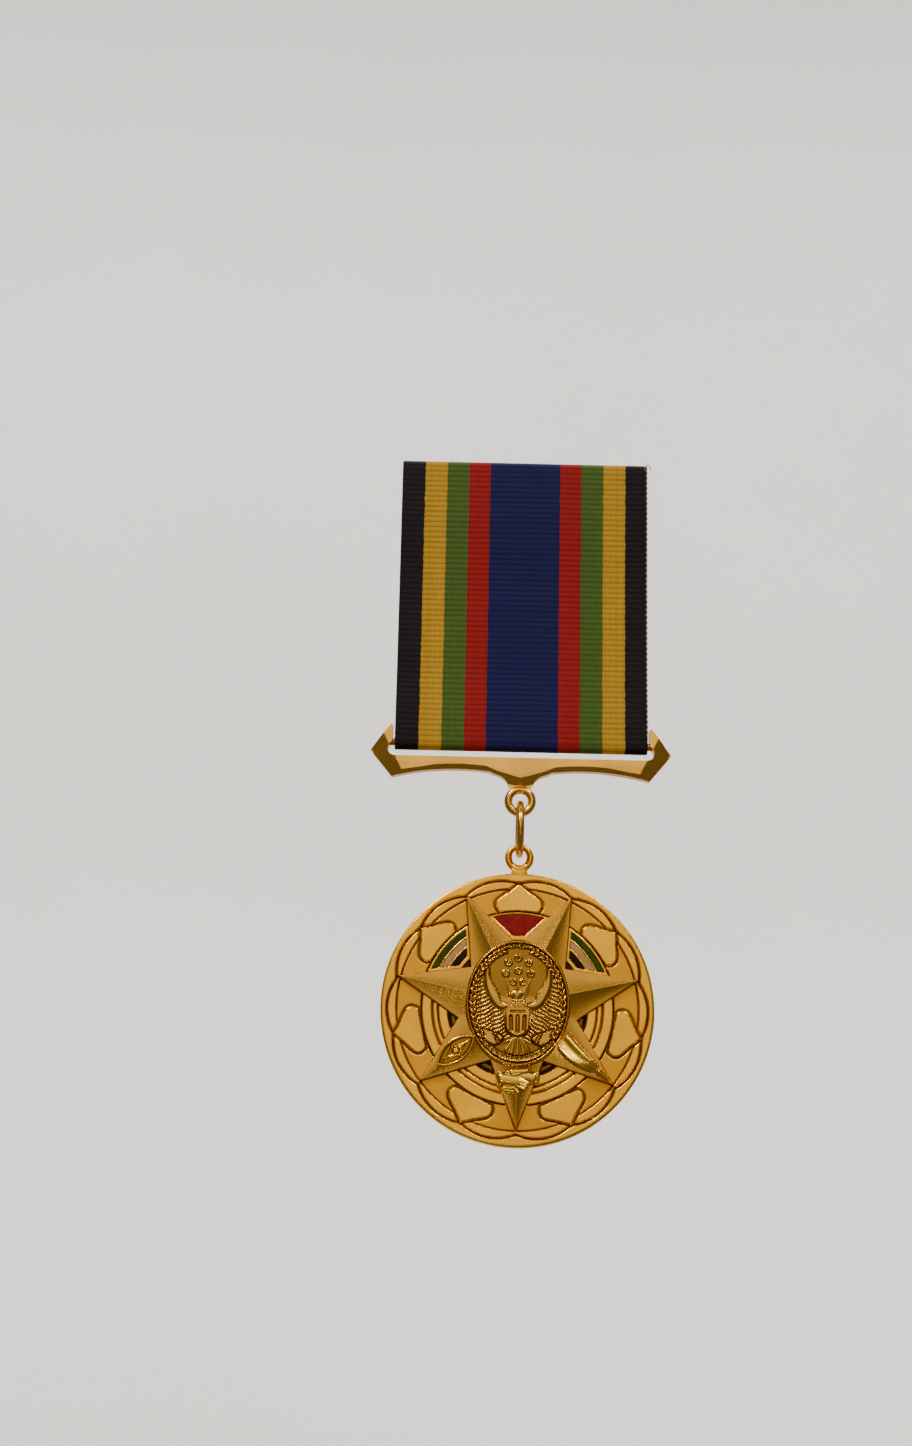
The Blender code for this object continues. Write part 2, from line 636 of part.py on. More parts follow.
def bird_outline():
    """A plain bird with raised wings, one half mirrored."""
    half = [(0.0, -4.6), (1.3, -5.4), (1.6, -3.2), (3.4, -2.4), (5.0, 0.2), (5.5, 3.2), (4.4, 5.2)]
    half += [(3.6, 3.2), (2.6, 0.8), (1.1, 0.2), (0.9, 1.8), (0.0, 2.5)]
    return [(x * MM, y * MM) for x, y in half] + [(-x * MM, y * MM) for x, y in half[-2:0:-1]]


def centre_emblem(group, cutters, materials):
    """An oval plate with a raised bird on it."""
    centre = (0, 0, below_top(DISC_DROP) + EMBLEM_RISE)
    oval = outline_mesh("centre_emblem", [ellipse(*EMBLEM_HALF, 40)], STAR_BASE, EMBLEM_TOP, bevel=0.25 * MM)
    plate = add("centre_emblem", oval, centre, group, materials["gold"], FACING_FRONT)
    bird = outline_mesh("bird", [bird_outline()], EMBLEM_TOP - 0.5 * MM, EMBLEM_RELIEF)
    join(plate, add("bird", bird, centre, cutters, turn=FACING_FRONT))


def charge(name, loop, k, group, materials, bevel=0.12 * MM):
    """A small emblem lying along the ridge of arm k, its outline with X along the arm."""
    mesh = outline_mesh(name, [loop], GAP, GAP + CHARGE_THICKNESS, bevel)
    peak = (0, -STAR_PEAK, below_top(DISC_DROP) + STAR_RISE)
    ridge_slope = Matrix.Rotation(atan2(STAR_PEAK - STAR_EDGE, STAR_TIP), 4, "Y")
    along_arm = Matrix.Rotation(radians(arm_angle(k)), 4, "Z")
    add(name, mesh, peak, group, materials["polished"], FACING_FRONT @ along_arm @ ridge_slope)


def clasped_hands(group, materials):
    """Two clasped hands: one rounded shape across the bottom arm."""
    half = [(13.3, 0.0), (13.0, 1.4), (12.1, 2.4), (11.0, 2.9), (9.7, 2.8), (9.2, 1.5), (9.1, 0.0)]
    charge("clasped_hands", mirrored_loop([(x * MM, y * MM) for x, y in half]), 0, group, materials)


def almond_medallion(group, materials):
    """An almond of two arcs, along the lower left arm."""
    middle, half_length, half_width = 11.3 * MM, 3.4 * MM, 1.6 * MM
    turns = [pi * i / 12 for i in range(1, 12)]
    upper = [(middle + half_length * cos(t), half_width * sin(t)) for t in turns]
    half = [(middle + half_length, 0.0)] + upper + [(middle - half_length, 0.0)]
    charge("almond_medallion", mirrored_loop(half), -1, group, materials)


def curved_horn(group, materials):
    """A long curved horn on the lower right arm, with a narrow mouthpiece near the arm's tip."""
    spine = [(8.5, 0.2, 1.4), (9.6, 0.0, 1.3), (11.6, 0.0, 1.2), (13.2, 0.1, 1.05), (14.5, 0.15, 0.8)]
    spine += [(14.8, 0.05, 0.45), (16.9, 0.0, 0.35)]
    upper = [(x * MM, (y + half) * MM) for x, y, half in spine]
    lower = [(x * MM, (y - half) * MM) for x, y, half in spine]
    charge("curved_horn", upper + lower[::-1], 1, group, materials, bevel=0.1 * MM)


def mirrored_loop(half):
    """A closed outline from its half above the X axis, both ends on the axis."""
    return half + [(x, -y) for x, y in half[-2:0:-1]]


def main():
    clear_scene()
    group = collection("military_service_medal")
    cutters = collection("cutters")
    materials = {
        "gold": metal("satin_gold", (0.62, 0.40, 0.13), 0.34),
        "polished": metal("polished_gold", (0.76, 0.52, 0.20), 0.18),
        "brass": metal("brass", (0.60, 0.45, 0.20), 0.35),
        "steel": metal("pin_steel", (0.55, 0.54, 0.52), 0.25),
        "ribbon": metal("ribbon_cloth", (0.03, 0.04, 0.12), 0.9, 0.0),
        "thread": metal("thread", (0.02, 0.02, 0.03), 0.8, 0.0),
        "red": metal("red_enamel", (0.25, 0.01, 0.02), 0.15, 0.0),
        "green": metal("green_enamel", (0.02, 0.07, 0.02), 0.15, 0.0),
        "white": metal("white_enamel", (0.45, 0.38, 0.30), 0.2, 0.0),
        "black": metal("black_enamel", (0.01, 0.01, 0.01), 0.15, 0.0),
    }
    ribbon_head(group, cutters, materials["ribbon"])
    brooch_plates(group, materials)
    brooch_rivets(group, materials)
    pin_hinge(group, cutters, materials)
    brooch_pin(group, cutters, materials)
    pin_catch(group, materials)
    seam_thread(group, materials)
    ribbon_drape(group, materials["ribbon"])
    suspension_bar(group, cutters, materials)
    ribbon_rod(group, materials)
    jump_ring(group, materials)
    medal_disc(group, cutters, materials)
    enamel(group, materials)
    medal_star(group, cutters, materials)
    centre_emblem(group, cutters, materials)
    clasped_hands(group, materials)
    almond_medallion(group, materials)
    curved_horn(group, materials)


main()
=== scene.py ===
from math import atan2, ceil, cos, hypot, pi, radians, sin, tan, tau

import bmesh
import bpy
import numpy as np
from mathutils import Matrix, Vector
from mathutils.geometry import delaunay_2d_cdt


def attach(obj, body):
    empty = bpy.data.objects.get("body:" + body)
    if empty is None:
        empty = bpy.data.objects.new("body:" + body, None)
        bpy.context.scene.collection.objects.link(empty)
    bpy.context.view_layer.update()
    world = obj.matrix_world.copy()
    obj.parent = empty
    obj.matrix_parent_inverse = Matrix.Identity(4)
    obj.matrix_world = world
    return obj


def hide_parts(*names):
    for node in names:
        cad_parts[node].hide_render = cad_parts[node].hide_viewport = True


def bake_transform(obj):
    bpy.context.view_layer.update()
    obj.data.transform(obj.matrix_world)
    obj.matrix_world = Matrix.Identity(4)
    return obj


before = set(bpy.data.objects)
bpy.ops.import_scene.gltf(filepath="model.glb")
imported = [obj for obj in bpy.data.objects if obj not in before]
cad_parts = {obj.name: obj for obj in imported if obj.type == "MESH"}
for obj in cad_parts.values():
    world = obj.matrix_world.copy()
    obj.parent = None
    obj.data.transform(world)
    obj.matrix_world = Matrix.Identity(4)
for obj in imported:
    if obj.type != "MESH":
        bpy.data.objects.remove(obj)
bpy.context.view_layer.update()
MM = 0.001

# Sizes and places repeated from the CAD, in mm
TOP_Z = 4.75  # the medal's highest point, from which drops are measured
DISC_Z = -80.85
DISC_EYE_Z, BAR_EYE_Z, RING_Z = -58.35, -49.65, -53.94
ROD_Z = -40.85
ARMS = 7
SECTOR = tau / ARMS  # from one arm to the next; arm 0 points down
STAR_TIP, STAR_INNER = 18.1, 8.95  # radii
STAR_RISE = 0.35  # the star's middle above the disc's
STAR_EDGE, STAR_PEAK = 1.6, 2.8  # heights above the disc's mid-plane
RIDGE_FALL = (STAR_PEAK - STAR_EDGE) / STAR_TIP
RIBBON_HALF, RIBBON_THICKNESS = 19.1, 0.45
RIB = 0.84  # from one rib of the ribbon to the next
HINGE_X, PIN_Y, RIVET_X = -13.0, 4.2, 7.0

# Meshes


def placed(name, data):
    made = bpy.data.objects.new(name, data)
    bpy.context.scene.collection.objects.link(made)
    return made


def piece(name, points, faces, material, body, slot, replaces=(), sharp=38, values=None):
    """A mesh from points in mm, smooth except at edges sharper than this many degrees.
    values are numbers per point that its material reads, 0 for the points after the last."""
    mesh = bpy.data.meshes.new(name)
    mesh.from_pydata((np.asarray(points, float) * MM).tolist(), [], faces)
    for key, numbers in (values or {}).items():
        layer = mesh.attributes.new(key, "FLOAT", "POINT")
        numbers = np.concatenate([numbers, np.zeros(len(points) - len(numbers))])
        layer.data.foreach_set("value", np.asarray(numbers, np.float32))
    work = bmesh.new()
    work.from_mesh(mesh)
    bmesh.ops.recalc_face_normals(work, faces=work.faces)
    work.to_mesh(mesh)
    work.free()
    mesh.shade_smooth()
    mesh.set_sharp_from_angle(angle=radians(sharp))
    mesh.materials.append(material)
    made = placed(name, mesh)
    if body:
        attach(made, body)
    if replaces:
        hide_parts(*replaces)
    return made


def loft(rings, closed=False):
    """A tube of faces through rings of points: capped at both ends, or closed on itself."""
    rings = [np.asarray(r, float) for r in rings]
    count, around = len(rings), len(rings[0])
    points = np.concatenate(rings)
    index = np.arange(count * around).reshape(count, around)
    last = count if closed else count - 1
    faces = []
    for i in range(last):
        a, b = index[i], index[(i + 1) % count]
        faces += np.stack([a, np.roll(a, -1), np.roll(b, -1), b], 1).tolist()
    if not closed:
        for ring in (index[0], index[-1]):
            pole = len(points)
            points = np.concatenate([points, points[ring].mean(0)[None]])
            faces += [[int(p), int(q), pole] for p, q in zip(ring, np.roll(ring, -1))]
    return points, faces


def shells(*parts):
    """Several closed bodies as one list of points and faces."""
    points, faces, start = [], [], 0
    for some_points, some_faces in parts:
        points.append(np.asarray(some_points, float))
        faces += [[int(i) + start for i in face] for face in some_faces]
        start += len(some_points)
    return np.concatenate(points), faces


def turned(profile, steps, place):
    """A turned body: profile of (radius, height), and place maps (u, v, height) arrays to points."""
    turn = np.arange(steps) * tau / steps
    return loft([place(r * np.cos(turn), r * np.sin(turn), np.full(steps, h)) for r, h in profile])


def both_ends(profile):
    """A whole profile from its lower half."""
    return profile + [(r, -h) for r, h in profile[::-1]]


def torus(middle, half_width, half_depth, place, around=96, section=24, start=0.0, span=tau):
    """A ring of oval section, or a part of one."""
    turns = start + span * np.arange(around + (span < tau)) / around
    ring = np.arange(section) * tau / section
    rings = []
    for t in turns:
        reach = middle + half_width * np.cos(ring)
        rings.append(place(reach * cos(t), reach * sin(t), half_depth * np.sin(ring)))
    return loft(rings, closed=span >= tau)


def inset(loop, amount):
    """An outline moved inwards by amount; its points run anticlockwise."""
    loop = np.asarray(loop, float)
    before, after = loop - np.roll(loop, 1, 0), np.roll(loop, -1, 0) - loop
    before /= np.linalg.norm(before, axis=1)[:, None]
    after /= np.linalg.norm(after, axis=1)[:, None]
    normal = np.stack([-before[:, 1] - after[:, 1], before[:, 0] + after[:, 0]], 1)
    normal /= np.linalg.norm(normal, axis=1)[:, None]
    along = np.maximum(normal[:, 1] * before[:, 0] - normal[:, 0] * before[:, 1], 0.45)
    return loop + normal * (amount / along)[:, None]


def stack(loop, levels, place):
    """A body from an outline and levels of (amount moved inwards, height)."""
    made = []
    for amount, height in levels:
        ring = inset(loop, amount)
        made.append(place(ring[:, 0], ring[:, 1], np.full(len(ring), height)))
    return loft(made)


def slab(loop, low, high, bevel, place):
    """A flat plate with rounded edges, from its outline."""
    steps = [(bevel, 0.0), (bevel * 0.3, bevel * 0.3), (0.0, bevel)]
    levels = [(i, low + h) for i, h in steps] + [(i, high - h) for i, h in steps[::-1]]
    return stack(loop, levels, place)


def anticlockwise(loop):
    loop = np.asarray(loop, float)
    x, y = loop.T
    return loop if (x * np.roll(y, -1) - np.roll(x, -1) * y).sum() > 0 else loop[::-1]


def mirrored(half):
    """A whole outline from the half that ends on the middle line."""
    return [*half, *((-x, y) for x, y in half[-2::-1])]


def resample(path, spacing, closed=False):
    """Points evenly spaced along each stretch of a path, its corners kept."""
    path = [tuple(p) for p in path]
    ends = path[1:] + ([path[0]] if closed else [])
    points = []
    for a, b in zip(path, ends):
        steps = max(1, ceil(hypot(b[0] - a[0], b[1] - a[1]) / spacing))
        points += [(a[0] + (b[0] - a[0]) * i / steps, a[1] + (b[1] - a[1]) * i / steps)
                   for i in range(steps)]
    return points if closed else points + [path[-1]]


def smooth_path(path, steps=6, closed=False):
    """A Catmull-Rom curve through the points."""
    points = np.asarray(path, float)
    before, after = (points[-1:], points[:2]) if closed else (points[:1], points[-1:])
    run = np.concatenate([before, points, after])
    made = []
    for a, b, c, d in zip(run, run[1:], run[2:], run[3:]):
        for t in np.arange(steps) / steps:
            made.append(0.5 * (2 * b + (c - a) * t + (2 * a - 5 * b + 4 * c - d) * t**2
                               + (3 * b - a - 3 * c + d) * t**3))
    return made if closed else made + [points[-1]]


def path_distance(x, y, path, closed=False):
    """How far the points are from a path."""
    path = np.asarray(path, float)
    best = np.full(np.shape(x), 1e9)
    ends = np.roll(path, -1, 0)
    for a, b in zip(path[: None if closed else -1], ends):
        run = b - a
        t = unit(((x - a[0]) * run[0] + (y - a[1]) * run[1]) / max(run @ run, 1e-12))
        best = np.minimum(best, np.hypot(x - a[0] - t * run[0], y - a[1] - t * run[1]))
    return best


def within(x, y, loop):
    """How far the points are inside an outline; less than 0 outside."""
    loop = np.asarray(loop, float)
    inside = np.zeros(np.shape(x), bool)
    for a, b in zip(loop, np.roll(loop, -1, 0)):
        crosses = (a[1] > y) != (b[1] > y)
        inside ^= crosses & (x < a[0] + (y - a[1]) * (b[0] - a[0]) / ((b[1] - a[1]) or 1e-12))
    distance = path_distance(x, y, loop, closed=True)
    return np.where(inside, distance, -distance)


def unit(value):
    return np.clip(value, 0, 1)


def ease(value, width):
    """From 0 to 1 as value goes from -width to width."""
    t = unit(value / width * 0.5 + 0.5)
    return t * t * (3 - 2 * t)


def lift(height, top, distance, width):
    """The height brought to top where distance is over 0."""
    return height + (top - height) * ease(distance, width)


def carve(height, distance, half, floor):
    """A rounded groove down to floor, this far to each side of distance 0."""
    t = unit(1 - (distance / half) ** 2) ** 0.7
    return np.minimum(height, height * (1 - t) + floor * t)


def relief(loop, height, base, spacing, place, lean=0.0, lines=()):
    """A closed body over an outline, its front raised by a height function of x and y.
    lines are paths that the mesh follows, so that creases along them stay straight."""
    loop = anticlockwise(resample(loop, spacing, closed=True))
    low, high = loop.min(0), loop.max(0)
    columns = np.arange(low[0], high[0], spacing)
    x, y = np.meshgrid(columns, np.arange(low[1], high[1], spacing * 0.866))
    x = x + (np.arange(len(x)) % 2 * spacing / 2)[:, None]
    inside = within(x, y, loop) > spacing * 0.45
    kept = [resample(line, spacing) for line in lines]
    for line in kept:
        inside &= path_distance(x, y, line) > spacing * 0.45
    coords = [Vector(p) for p in loop]
    edges = [(i, (i + 1) % len(loop)) for i in range(len(loop))]
    for line in kept:
        start = len(coords)
        coords += [Vector(p) for p in line]
        edges += [(start + i, start + i + 1) for i in range(len(line) - 1)]
    coords += [Vector(p) for p in np.stack([x[inside], y[inside]], 1).tolist()]
    made, _, faces, *_ = delaunay_2d_cdt(coords, edges, [], 1, 1e-5)
    flat = np.array([tuple(v) for v in made])
    top = place(flat[:, 0], flat[:, 1], height(flat[:, 0], flat[:, 1]))
    used = dict.fromkeys((a, b) for face in faces for a, b in zip(face, face[1:] + face[:1]))
    rim = {a: b for a, b in used if (b, a) not in used}
    ring = [next(iter(rim))]
    while rim[ring[-1]] != ring[0]:
        ring.append(rim[ring[-1]])
    ring = np.array(ring)
    outer = inset(flat[ring], -lean) if lean else flat[ring]
    below = place(outer[:, 0], outer[:, 1], np.full(len(ring), base))
    first = len(top)
    points = np.concatenate([top, below, below.mean(0)[None]])
    count = len(ring)
    faces = [list(f) for f in faces]
    for i in range(count):
        j = (i + 1) % count
        faces.append([int(ring[j]), int(ring[i]), first + i, first + j])
        faces.append([first + j, first + i, first + count])
    return points, faces, flat


def struck(name, node, looks, loop, shape, base, spacing, place, dark, lean=0.0):
    """A piece in relief on the disc, with painted shade and patina in its hollows: dark is the height
    where that starts, how far below it the darkest lies, and how dark that is. looks is (material,
    slot, sharp)."""
    points, faces, flat = relief(loop, shape, base, spacing, place, lean)
    # painted shade with patina, deeper the further the surface lies below the dark height
    groove = unit((dark[0] - shape(flat[:, 0], flat[:, 1])) / dark[1]) * dark[2]
    piece(name, points, faces, looks[0], "medal", looks[1], [node], looks[2], {"groove": groove})


def on_disc(x, z, h):
    """Points from places on the disc's front: x and z from its middle, h out of its mid-plane."""
    return front(x, z + DISC_Z, h)


def round_disc(radius, turn, h, rise=0.0):
    """Points from places round the disc's middle, or round a place that is rise above it."""
    return on_disc(radius * np.cos(turn), rise + radius * np.sin(turn), h)


def front(x, z, h):
    """Points facing the front."""
    return np.stack([x, -np.asarray(h), z], -1)


def back(x, z, y):
    """Points facing the back."""
    return np.stack([x, np.asarray(y, float), z], -1)


def along_x(y, z, x):
    return np.stack([x, y, z], -1)


def along_z(x, y, z):
    return np.stack([x, y, z], -1)


def on_arm(k):
    """Places along the ridge of arm k: x along it, y across it, h above the ridge."""
    turn = arm_turn(k)

    def place(x, y, h):
        return on_disc(x * cos(turn) - y * sin(turn), STAR_RISE + x * sin(turn) + y * cos(turn),
                       STAR_PEAK - RIDGE_FALL * np.asarray(x) + h)
    return place


# Materials


def srgb(*channels):
    """A display colour, with channels from 0 to 255, as the shader wants it."""
    linear = [c / 255 / 12.92 if c <= 10 else ((c / 255 + 0.055) / 1.055) ** 2.4 for c in channels]
    return (*linear, 1.0)


def darker(tone, share):
    return (*(c * share for c in tone[:3]), 1)


def fill_ramp(ramp, stops, kind="LINEAR"):
    """Sets a ramp's colours; stops are in order from 0 to 1."""
    ramp.interpolation = kind
    points = ramp.elements
    points.remove(points[1])
    points[0].position = stops[0][0]
    for where, _ in stops[1:]:
        points.new(where)
    for point, (_, colour) in zip(points, stops):
        point.color = colour


class Nodes:
    """A node tree."""

    def __init__(self, owner):
        owner.use_nodes = True
        self.tree = owner.node_tree

    def add(self, kind, inputs=None, **settings):
        node = self.tree.nodes.new(kind)
        for key, value in settings.items():
            setattr(node, key, value)
        for key, value in (inputs or {}).items():
            self.feed(node.inputs[key], value)
        return node

    def feed(self, socket, value):
        if isinstance(value, bpy.types.NodeSocket):
            self.tree.links.new(value, socket)
        else:
            socket.default_value = value


class Surface(Nodes):
    """A node material with short calls for the nodes that it needs."""

    def __init__(self, name, **settings):
        self.material = bpy.data.materials.new(name)
        super().__init__(self.material)
        self.shader = self.tree.nodes["Principled BSDF"]
        for key, value in settings.items():
            self.shader.inputs[key.replace("_", " ")].default_value = value
        self.place = self.add("ShaderNodeTexCoord").outputs["Object"]

    def number(self, name):
        return self.add("ShaderNodeAttribute", attribute_name=name).outputs["Fac"]

    def maths(self, operation, a, b=0.0):
        return self.add("ShaderNodeMath", {0: a, 1: b}, operation=operation).outputs[0]

    def times(self, a, b):
        return self.maths("MULTIPLY", a, b)

    def spread(self, value, low, high, to_low=0.0, to_high=1.0):
        """The value with low to high mapped to to_low to to_high, and held there beyond."""
        inputs = {0: value, 1: low, 2: high, 3: to_low, 4: to_high}
        return self.add("ShaderNodeMapRange", inputs).outputs[0]

    def random(self, value):
        made = self.add("ShaderNodeTexWhiteNoise", {"W": value}, noise_dimensions="1D")
        return made.outputs["Value"]

    def mix(self, share, a, b, blend="MIX"):
        inputs = {0: share, 6: a, 7: b}
        return self.add("ShaderNodeMix", inputs, data_type="RGBA", blend_type=blend).outputs[2]

    def noise(self, scale, detail=3.0, rough=0.5, stretch=None):
        place = self.place
        if stretch:
            place = self.add("ShaderNodeMapping", {"Vector": place, "Scale": stretch}).outputs[0]
        inputs = {"Vector": place, "Scale": scale, "Detail": detail, "Roughness": rough}
        return self.add("ShaderNodeTexNoise", inputs).outputs[0]

    def bump(self, height, strength, distance, after=None):
        inputs = {"Height": height, "Strength": strength, "Distance": distance}
        if after is not None:
            inputs["Normal"] = after
        return self.add("ShaderNodeBump", inputs).outputs[0]

    def finish(self, colour=None, rough=None, normal=None):
        for key, value in (("Base Color", colour), ("Roughness", rough), ("Normal", normal)):
            if value is not None:
                self.feed(self.shader.inputs[key], value)
        return self.material


def metal(name, light, dark, rough, brush=(1, 1, 1), grain=0.5, tarnish=0.35):
    """Plated or bare metal: slight clouding, fine brush marks, and painted shade with patina where
    the relief is deep.
    """
    light, dark = srgb(*light), srgb(*dark)
    s = Surface(name, Metallic=1.0)
    cloud = s.spread(s.noise(160.0, 4.0), 0.35, 0.7)
    fine = s.noise(2600.0, 3.0, 0.6, brush)
    scratch = s.noise(900.0, 2.0, 0.5, (1, 1, 14))
    groove, matte = s.number("groove"), s.number("matte")
    # a near-black brown for the painted shade, with patina, in the hollows; the groove value mixes it
    # in
    shade_and_patina_tone = (dark[0] * 0.11, dark[1] * 0.09, dark[2] * 0.09, 1)
    colour = s.mix(s.times(cloud, tarnish), light, dark)
    colour = s.mix(s.times(matte, 0.62), colour, dark)
    colour = s.mix(groove, colour, shade_and_patina_tone)
    even = s.spread(fine, 0.3, 0.7, rough * 0.85, rough * 1.2)
    rougher = s.maths("ADD", even, s.times(s.maths("ADD", matte, groove), 0.14))
    rougher = s.maths("ADD", rougher, s.times(cloud, 0.04))
    grainy = s.bump(fine, grain, 0.00003)
    return s.finish(colour, rougher, s.bump(scratch, grain * 0.5, 0.00003, grainy))


def enamel(name, tone, other):
    """Glassy enamel with faint clouds and a few specks, ground almost flat."""
    tone, other = srgb(*tone), srgb(*other)
    s = Surface(name, Coat_Weight=0.02, Coat_Roughness=0.15, Specular_IOR_Level=0.05)
    cloud = s.spread(s.noise(700.0, 4.0, 0.6), 0.35, 0.7)
    speck = s.spread(s.noise(5200.0, 2.0), 0.66, 0.72)
    colour = s.mix(s.times(speck, 0.25), s.mix(cloud, tone, other), srgb(150, 110, 70))
    rough = s.spread(s.noise(1500.0), 0.3, 0.7, 0.16, 0.3)
    return s.finish(colour, rough, s.bump(s.noise(420.0, 2.0), 0.25, 0.00006))


def ribbon_cloth():
    """Ribbed ribbon: nine lengthwise stripes, fine lengthwise threads over crosswise ribs, and
    painted shade in the valleys between the ribs.
    """
    s = Surface("ribbon", Sheen_Weight=0.04, Sheen_Roughness=0.4, Specular_IOR_Level=0.15)
    across, along, rib = s.number("across"), s.number("along"), s.number("rib")
    shift = s.random(s.maths("SNAP", along, RIB * 0.5))
    where = s.maths("ADD", across, s.spread(shift, 0, 1, -0.05, 0.05))
    ramp = s.add("ShaderNodeValToRGB", {"Fac": s.spread(where, -RIBBON_HALF, RIBBON_HALF)})
    black, yellow, green = srgb(20, 13, 13), srgb(166, 124, 22), srgb(62, 82, 22)
    red, navy = srgb(132, 12, 12), srgb(15, 13, 62)
    stripes = [(-19.1, black), (-15.6, yellow), (-12.2, green), (-8.8, red), (-5.4, navy),
               (5.4, red), (8.8, green), (12.2, yellow), (15.6, black)]
    stops = [((edge + RIBBON_HALF) / (2 * RIBBON_HALF), colour) for edge, colour in stripes]
    fill_ramp(ramp.color_ramp, stops, "CONSTANT")
    pitch = 0.13  # from one lengthwise thread to the next
    thread = s.maths("SINE", s.times(across, tau / pitch))
    wobble = s.noise(900.0, 3.0, 0.6, (6, 1, 1))
    strand = s.random(s.maths("SNAP", across, pitch))
    # painted shade: darker in the valleys between the ribs and a little lighter on their crests
    level = s.times(s.spread(rib, 0.0, 1.0, 0.6, 1.08), s.spread(strand, 0, 1, 0.92, 1.06))
    level = s.times(level, s.spread(thread, -1, 1, 0.93, 1.03))
    level = s.times(level, s.spread(wobble, 0.3, 0.7, 0.88, 1.1))
    grey = s.add("ShaderNodeCombineColor", {0: level, 1: level, 2: level}).outputs[0]
    height = s.maths("ADD", s.times(thread, 0.5), wobble)
    return s.finish(s.mix(1.0, ramp.outputs[0], grey, "MULTIPLY"),
                    s.spread(wobble, 0.3, 0.7, 0.62, 0.8), s.bump(height, 0.35, 0.00004))


def sewing_thread(name, tone):
    """Twisted thread."""
    s = Surface(name, Sheen_Weight=0.15)
    wave = {"Vector": s.place, "Scale": 900.0, "Distortion": 1.0}
    twist = s.add("ShaderNodeTexWave", wave).outputs["Fac"]
    colour = s.mix(s.spread(twist, 0, 1, 0.0, 0.55), tone, darker(tone, 0.4))
    fuzz = s.spread(s.noise(3000.0, 3.0), 0.3, 0.7, 0.7, 0.9)
    return s.finish(colour, fuzz, s.bump(twist, 0.5, 0.00005))


def plain_ground(name, tone):
    s = Surface(name, Specular_IOR_Level=0.2)
    colour = s.mix(s.spread(s.noise(6.0, 3.0), 0.3, 0.7), tone, darker(tone, 0.97))
    return s.finish(colour, s.spread(s.noise(300.0), 0.3, 0.7, 0.75, 0.9))


GOLD = metal("gold", (244, 180, 72), (200, 132, 44), 0.22)
GOLD_DISC = metal("gold_disc", (254, 182, 38), (218, 146, 34), 0.27, grain=0.28)
GOLD_STAR = metal("gold_star", (208, 150, 54), (172, 114, 34), 0.22)
POLISHED = metal("polished_gold", (255, 196, 62), (222, 150, 40), 0.12, grain=0.2)
BRASS = metal("brooch_brass", (206, 176, 112), (150, 112, 58), 0.36, (1, 1, 9), tarnish=0.7)
STEEL = metal("pin_steel", (190, 188, 182), (120, 116, 110), 0.25, (9, 1, 1))
CLOTH = ribbon_cloth()
THREAD = sewing_thread("seam_thread", srgb(24, 20, 26))
EDGE_THREAD = sewing_thread("edge_thread", srgb(120, 112, 96))
RED = enamel("red_enamel", (128, 24, 22), (104, 16, 18))
BLACK = enamel("black_enamel", (38, 16, 6), (26, 11, 4))
WHITE = enamel("white_enamel", (166, 128, 78), (140, 104, 60))
GREEN = enamel("green_enamel", (50, 60, 8), (36, 46, 6))

# Disc

# One half of a petal's outline, outwards from its foot: distance from the disc's middle, half width
PETAL = smooth_path([(14.15, 2.95), (14.6, 3.32), (15.2, 3.5), (15.75, 3.38), (16.3, 2.9),
                     (16.85, 2.15), (17.4, 1.36), (17.9, 0.74), (18.3, 0.28), (18.55, 0.0)], 3)
FIELD, RAISED, RING_FACE = 0.84, 1.08, 1.05  # heights above the disc's mid-plane
RED_RING = (10.72, 13.85)  # radii of the enamel cells
RINGS = {"black": (10.58, 11.48), "white": (11.8, 12.66), "green": (12.97, 13.8)}
CELL_BORDER = 0.42  # from a cell's end to the star's edge
DISC_EYE = (1.73, 0.43, 0.65)  # middle radius, and half its section's width and depth


def arm_turn(k):
    return radians(-90) + SECTOR * k


def star_edge():
    """One edge of an arm, from its tip to the inner corner, and its distance from the middle."""
    edge = np.array([STAR_INNER * cos(SECTOR / 2) - STAR_TIP, STAR_INNER * sin(SECTOR / 2)])
    return edge, STAR_TIP * edge[1] / hypot(*edge)


def star_loop(grow=0.0):
    """The star's outline round the disc's middle, moved outwards by grow."""
    distance = star_edge()[1]
    scale = (distance + grow) / distance
    loop = []
    for k in range(ARMS):
        for radius, part in ((STAR_TIP, 0.0), (STAR_INNER, 0.5)):
            turn = arm_turn(k + part)
            loop.append((radius * scale * cos(turn), STAR_RISE + radius * scale * sin(turn)))
    return loop


def circle_through(a, b, c):
    """The middle and radius of the circle through three points."""
    (ax, ay), (bx, by), (cx, cy) = a, b, c
    aa, bb, cc = ax**2 + ay**2, bx**2 + by**2, cx**2 + cy**2
    d = 2 * (ax * (by - cy) + bx * (cy - ay) + cx * (ay - by))
    x = (aa * (by - cy) + bb * (cy - ay) + cc * (ay - by)) / d
    y = (aa * (cx - bx) + bb * (ax - cx) + cc * (bx - ax)) / d
    return (x, y), hypot(ax - x, ay - y)


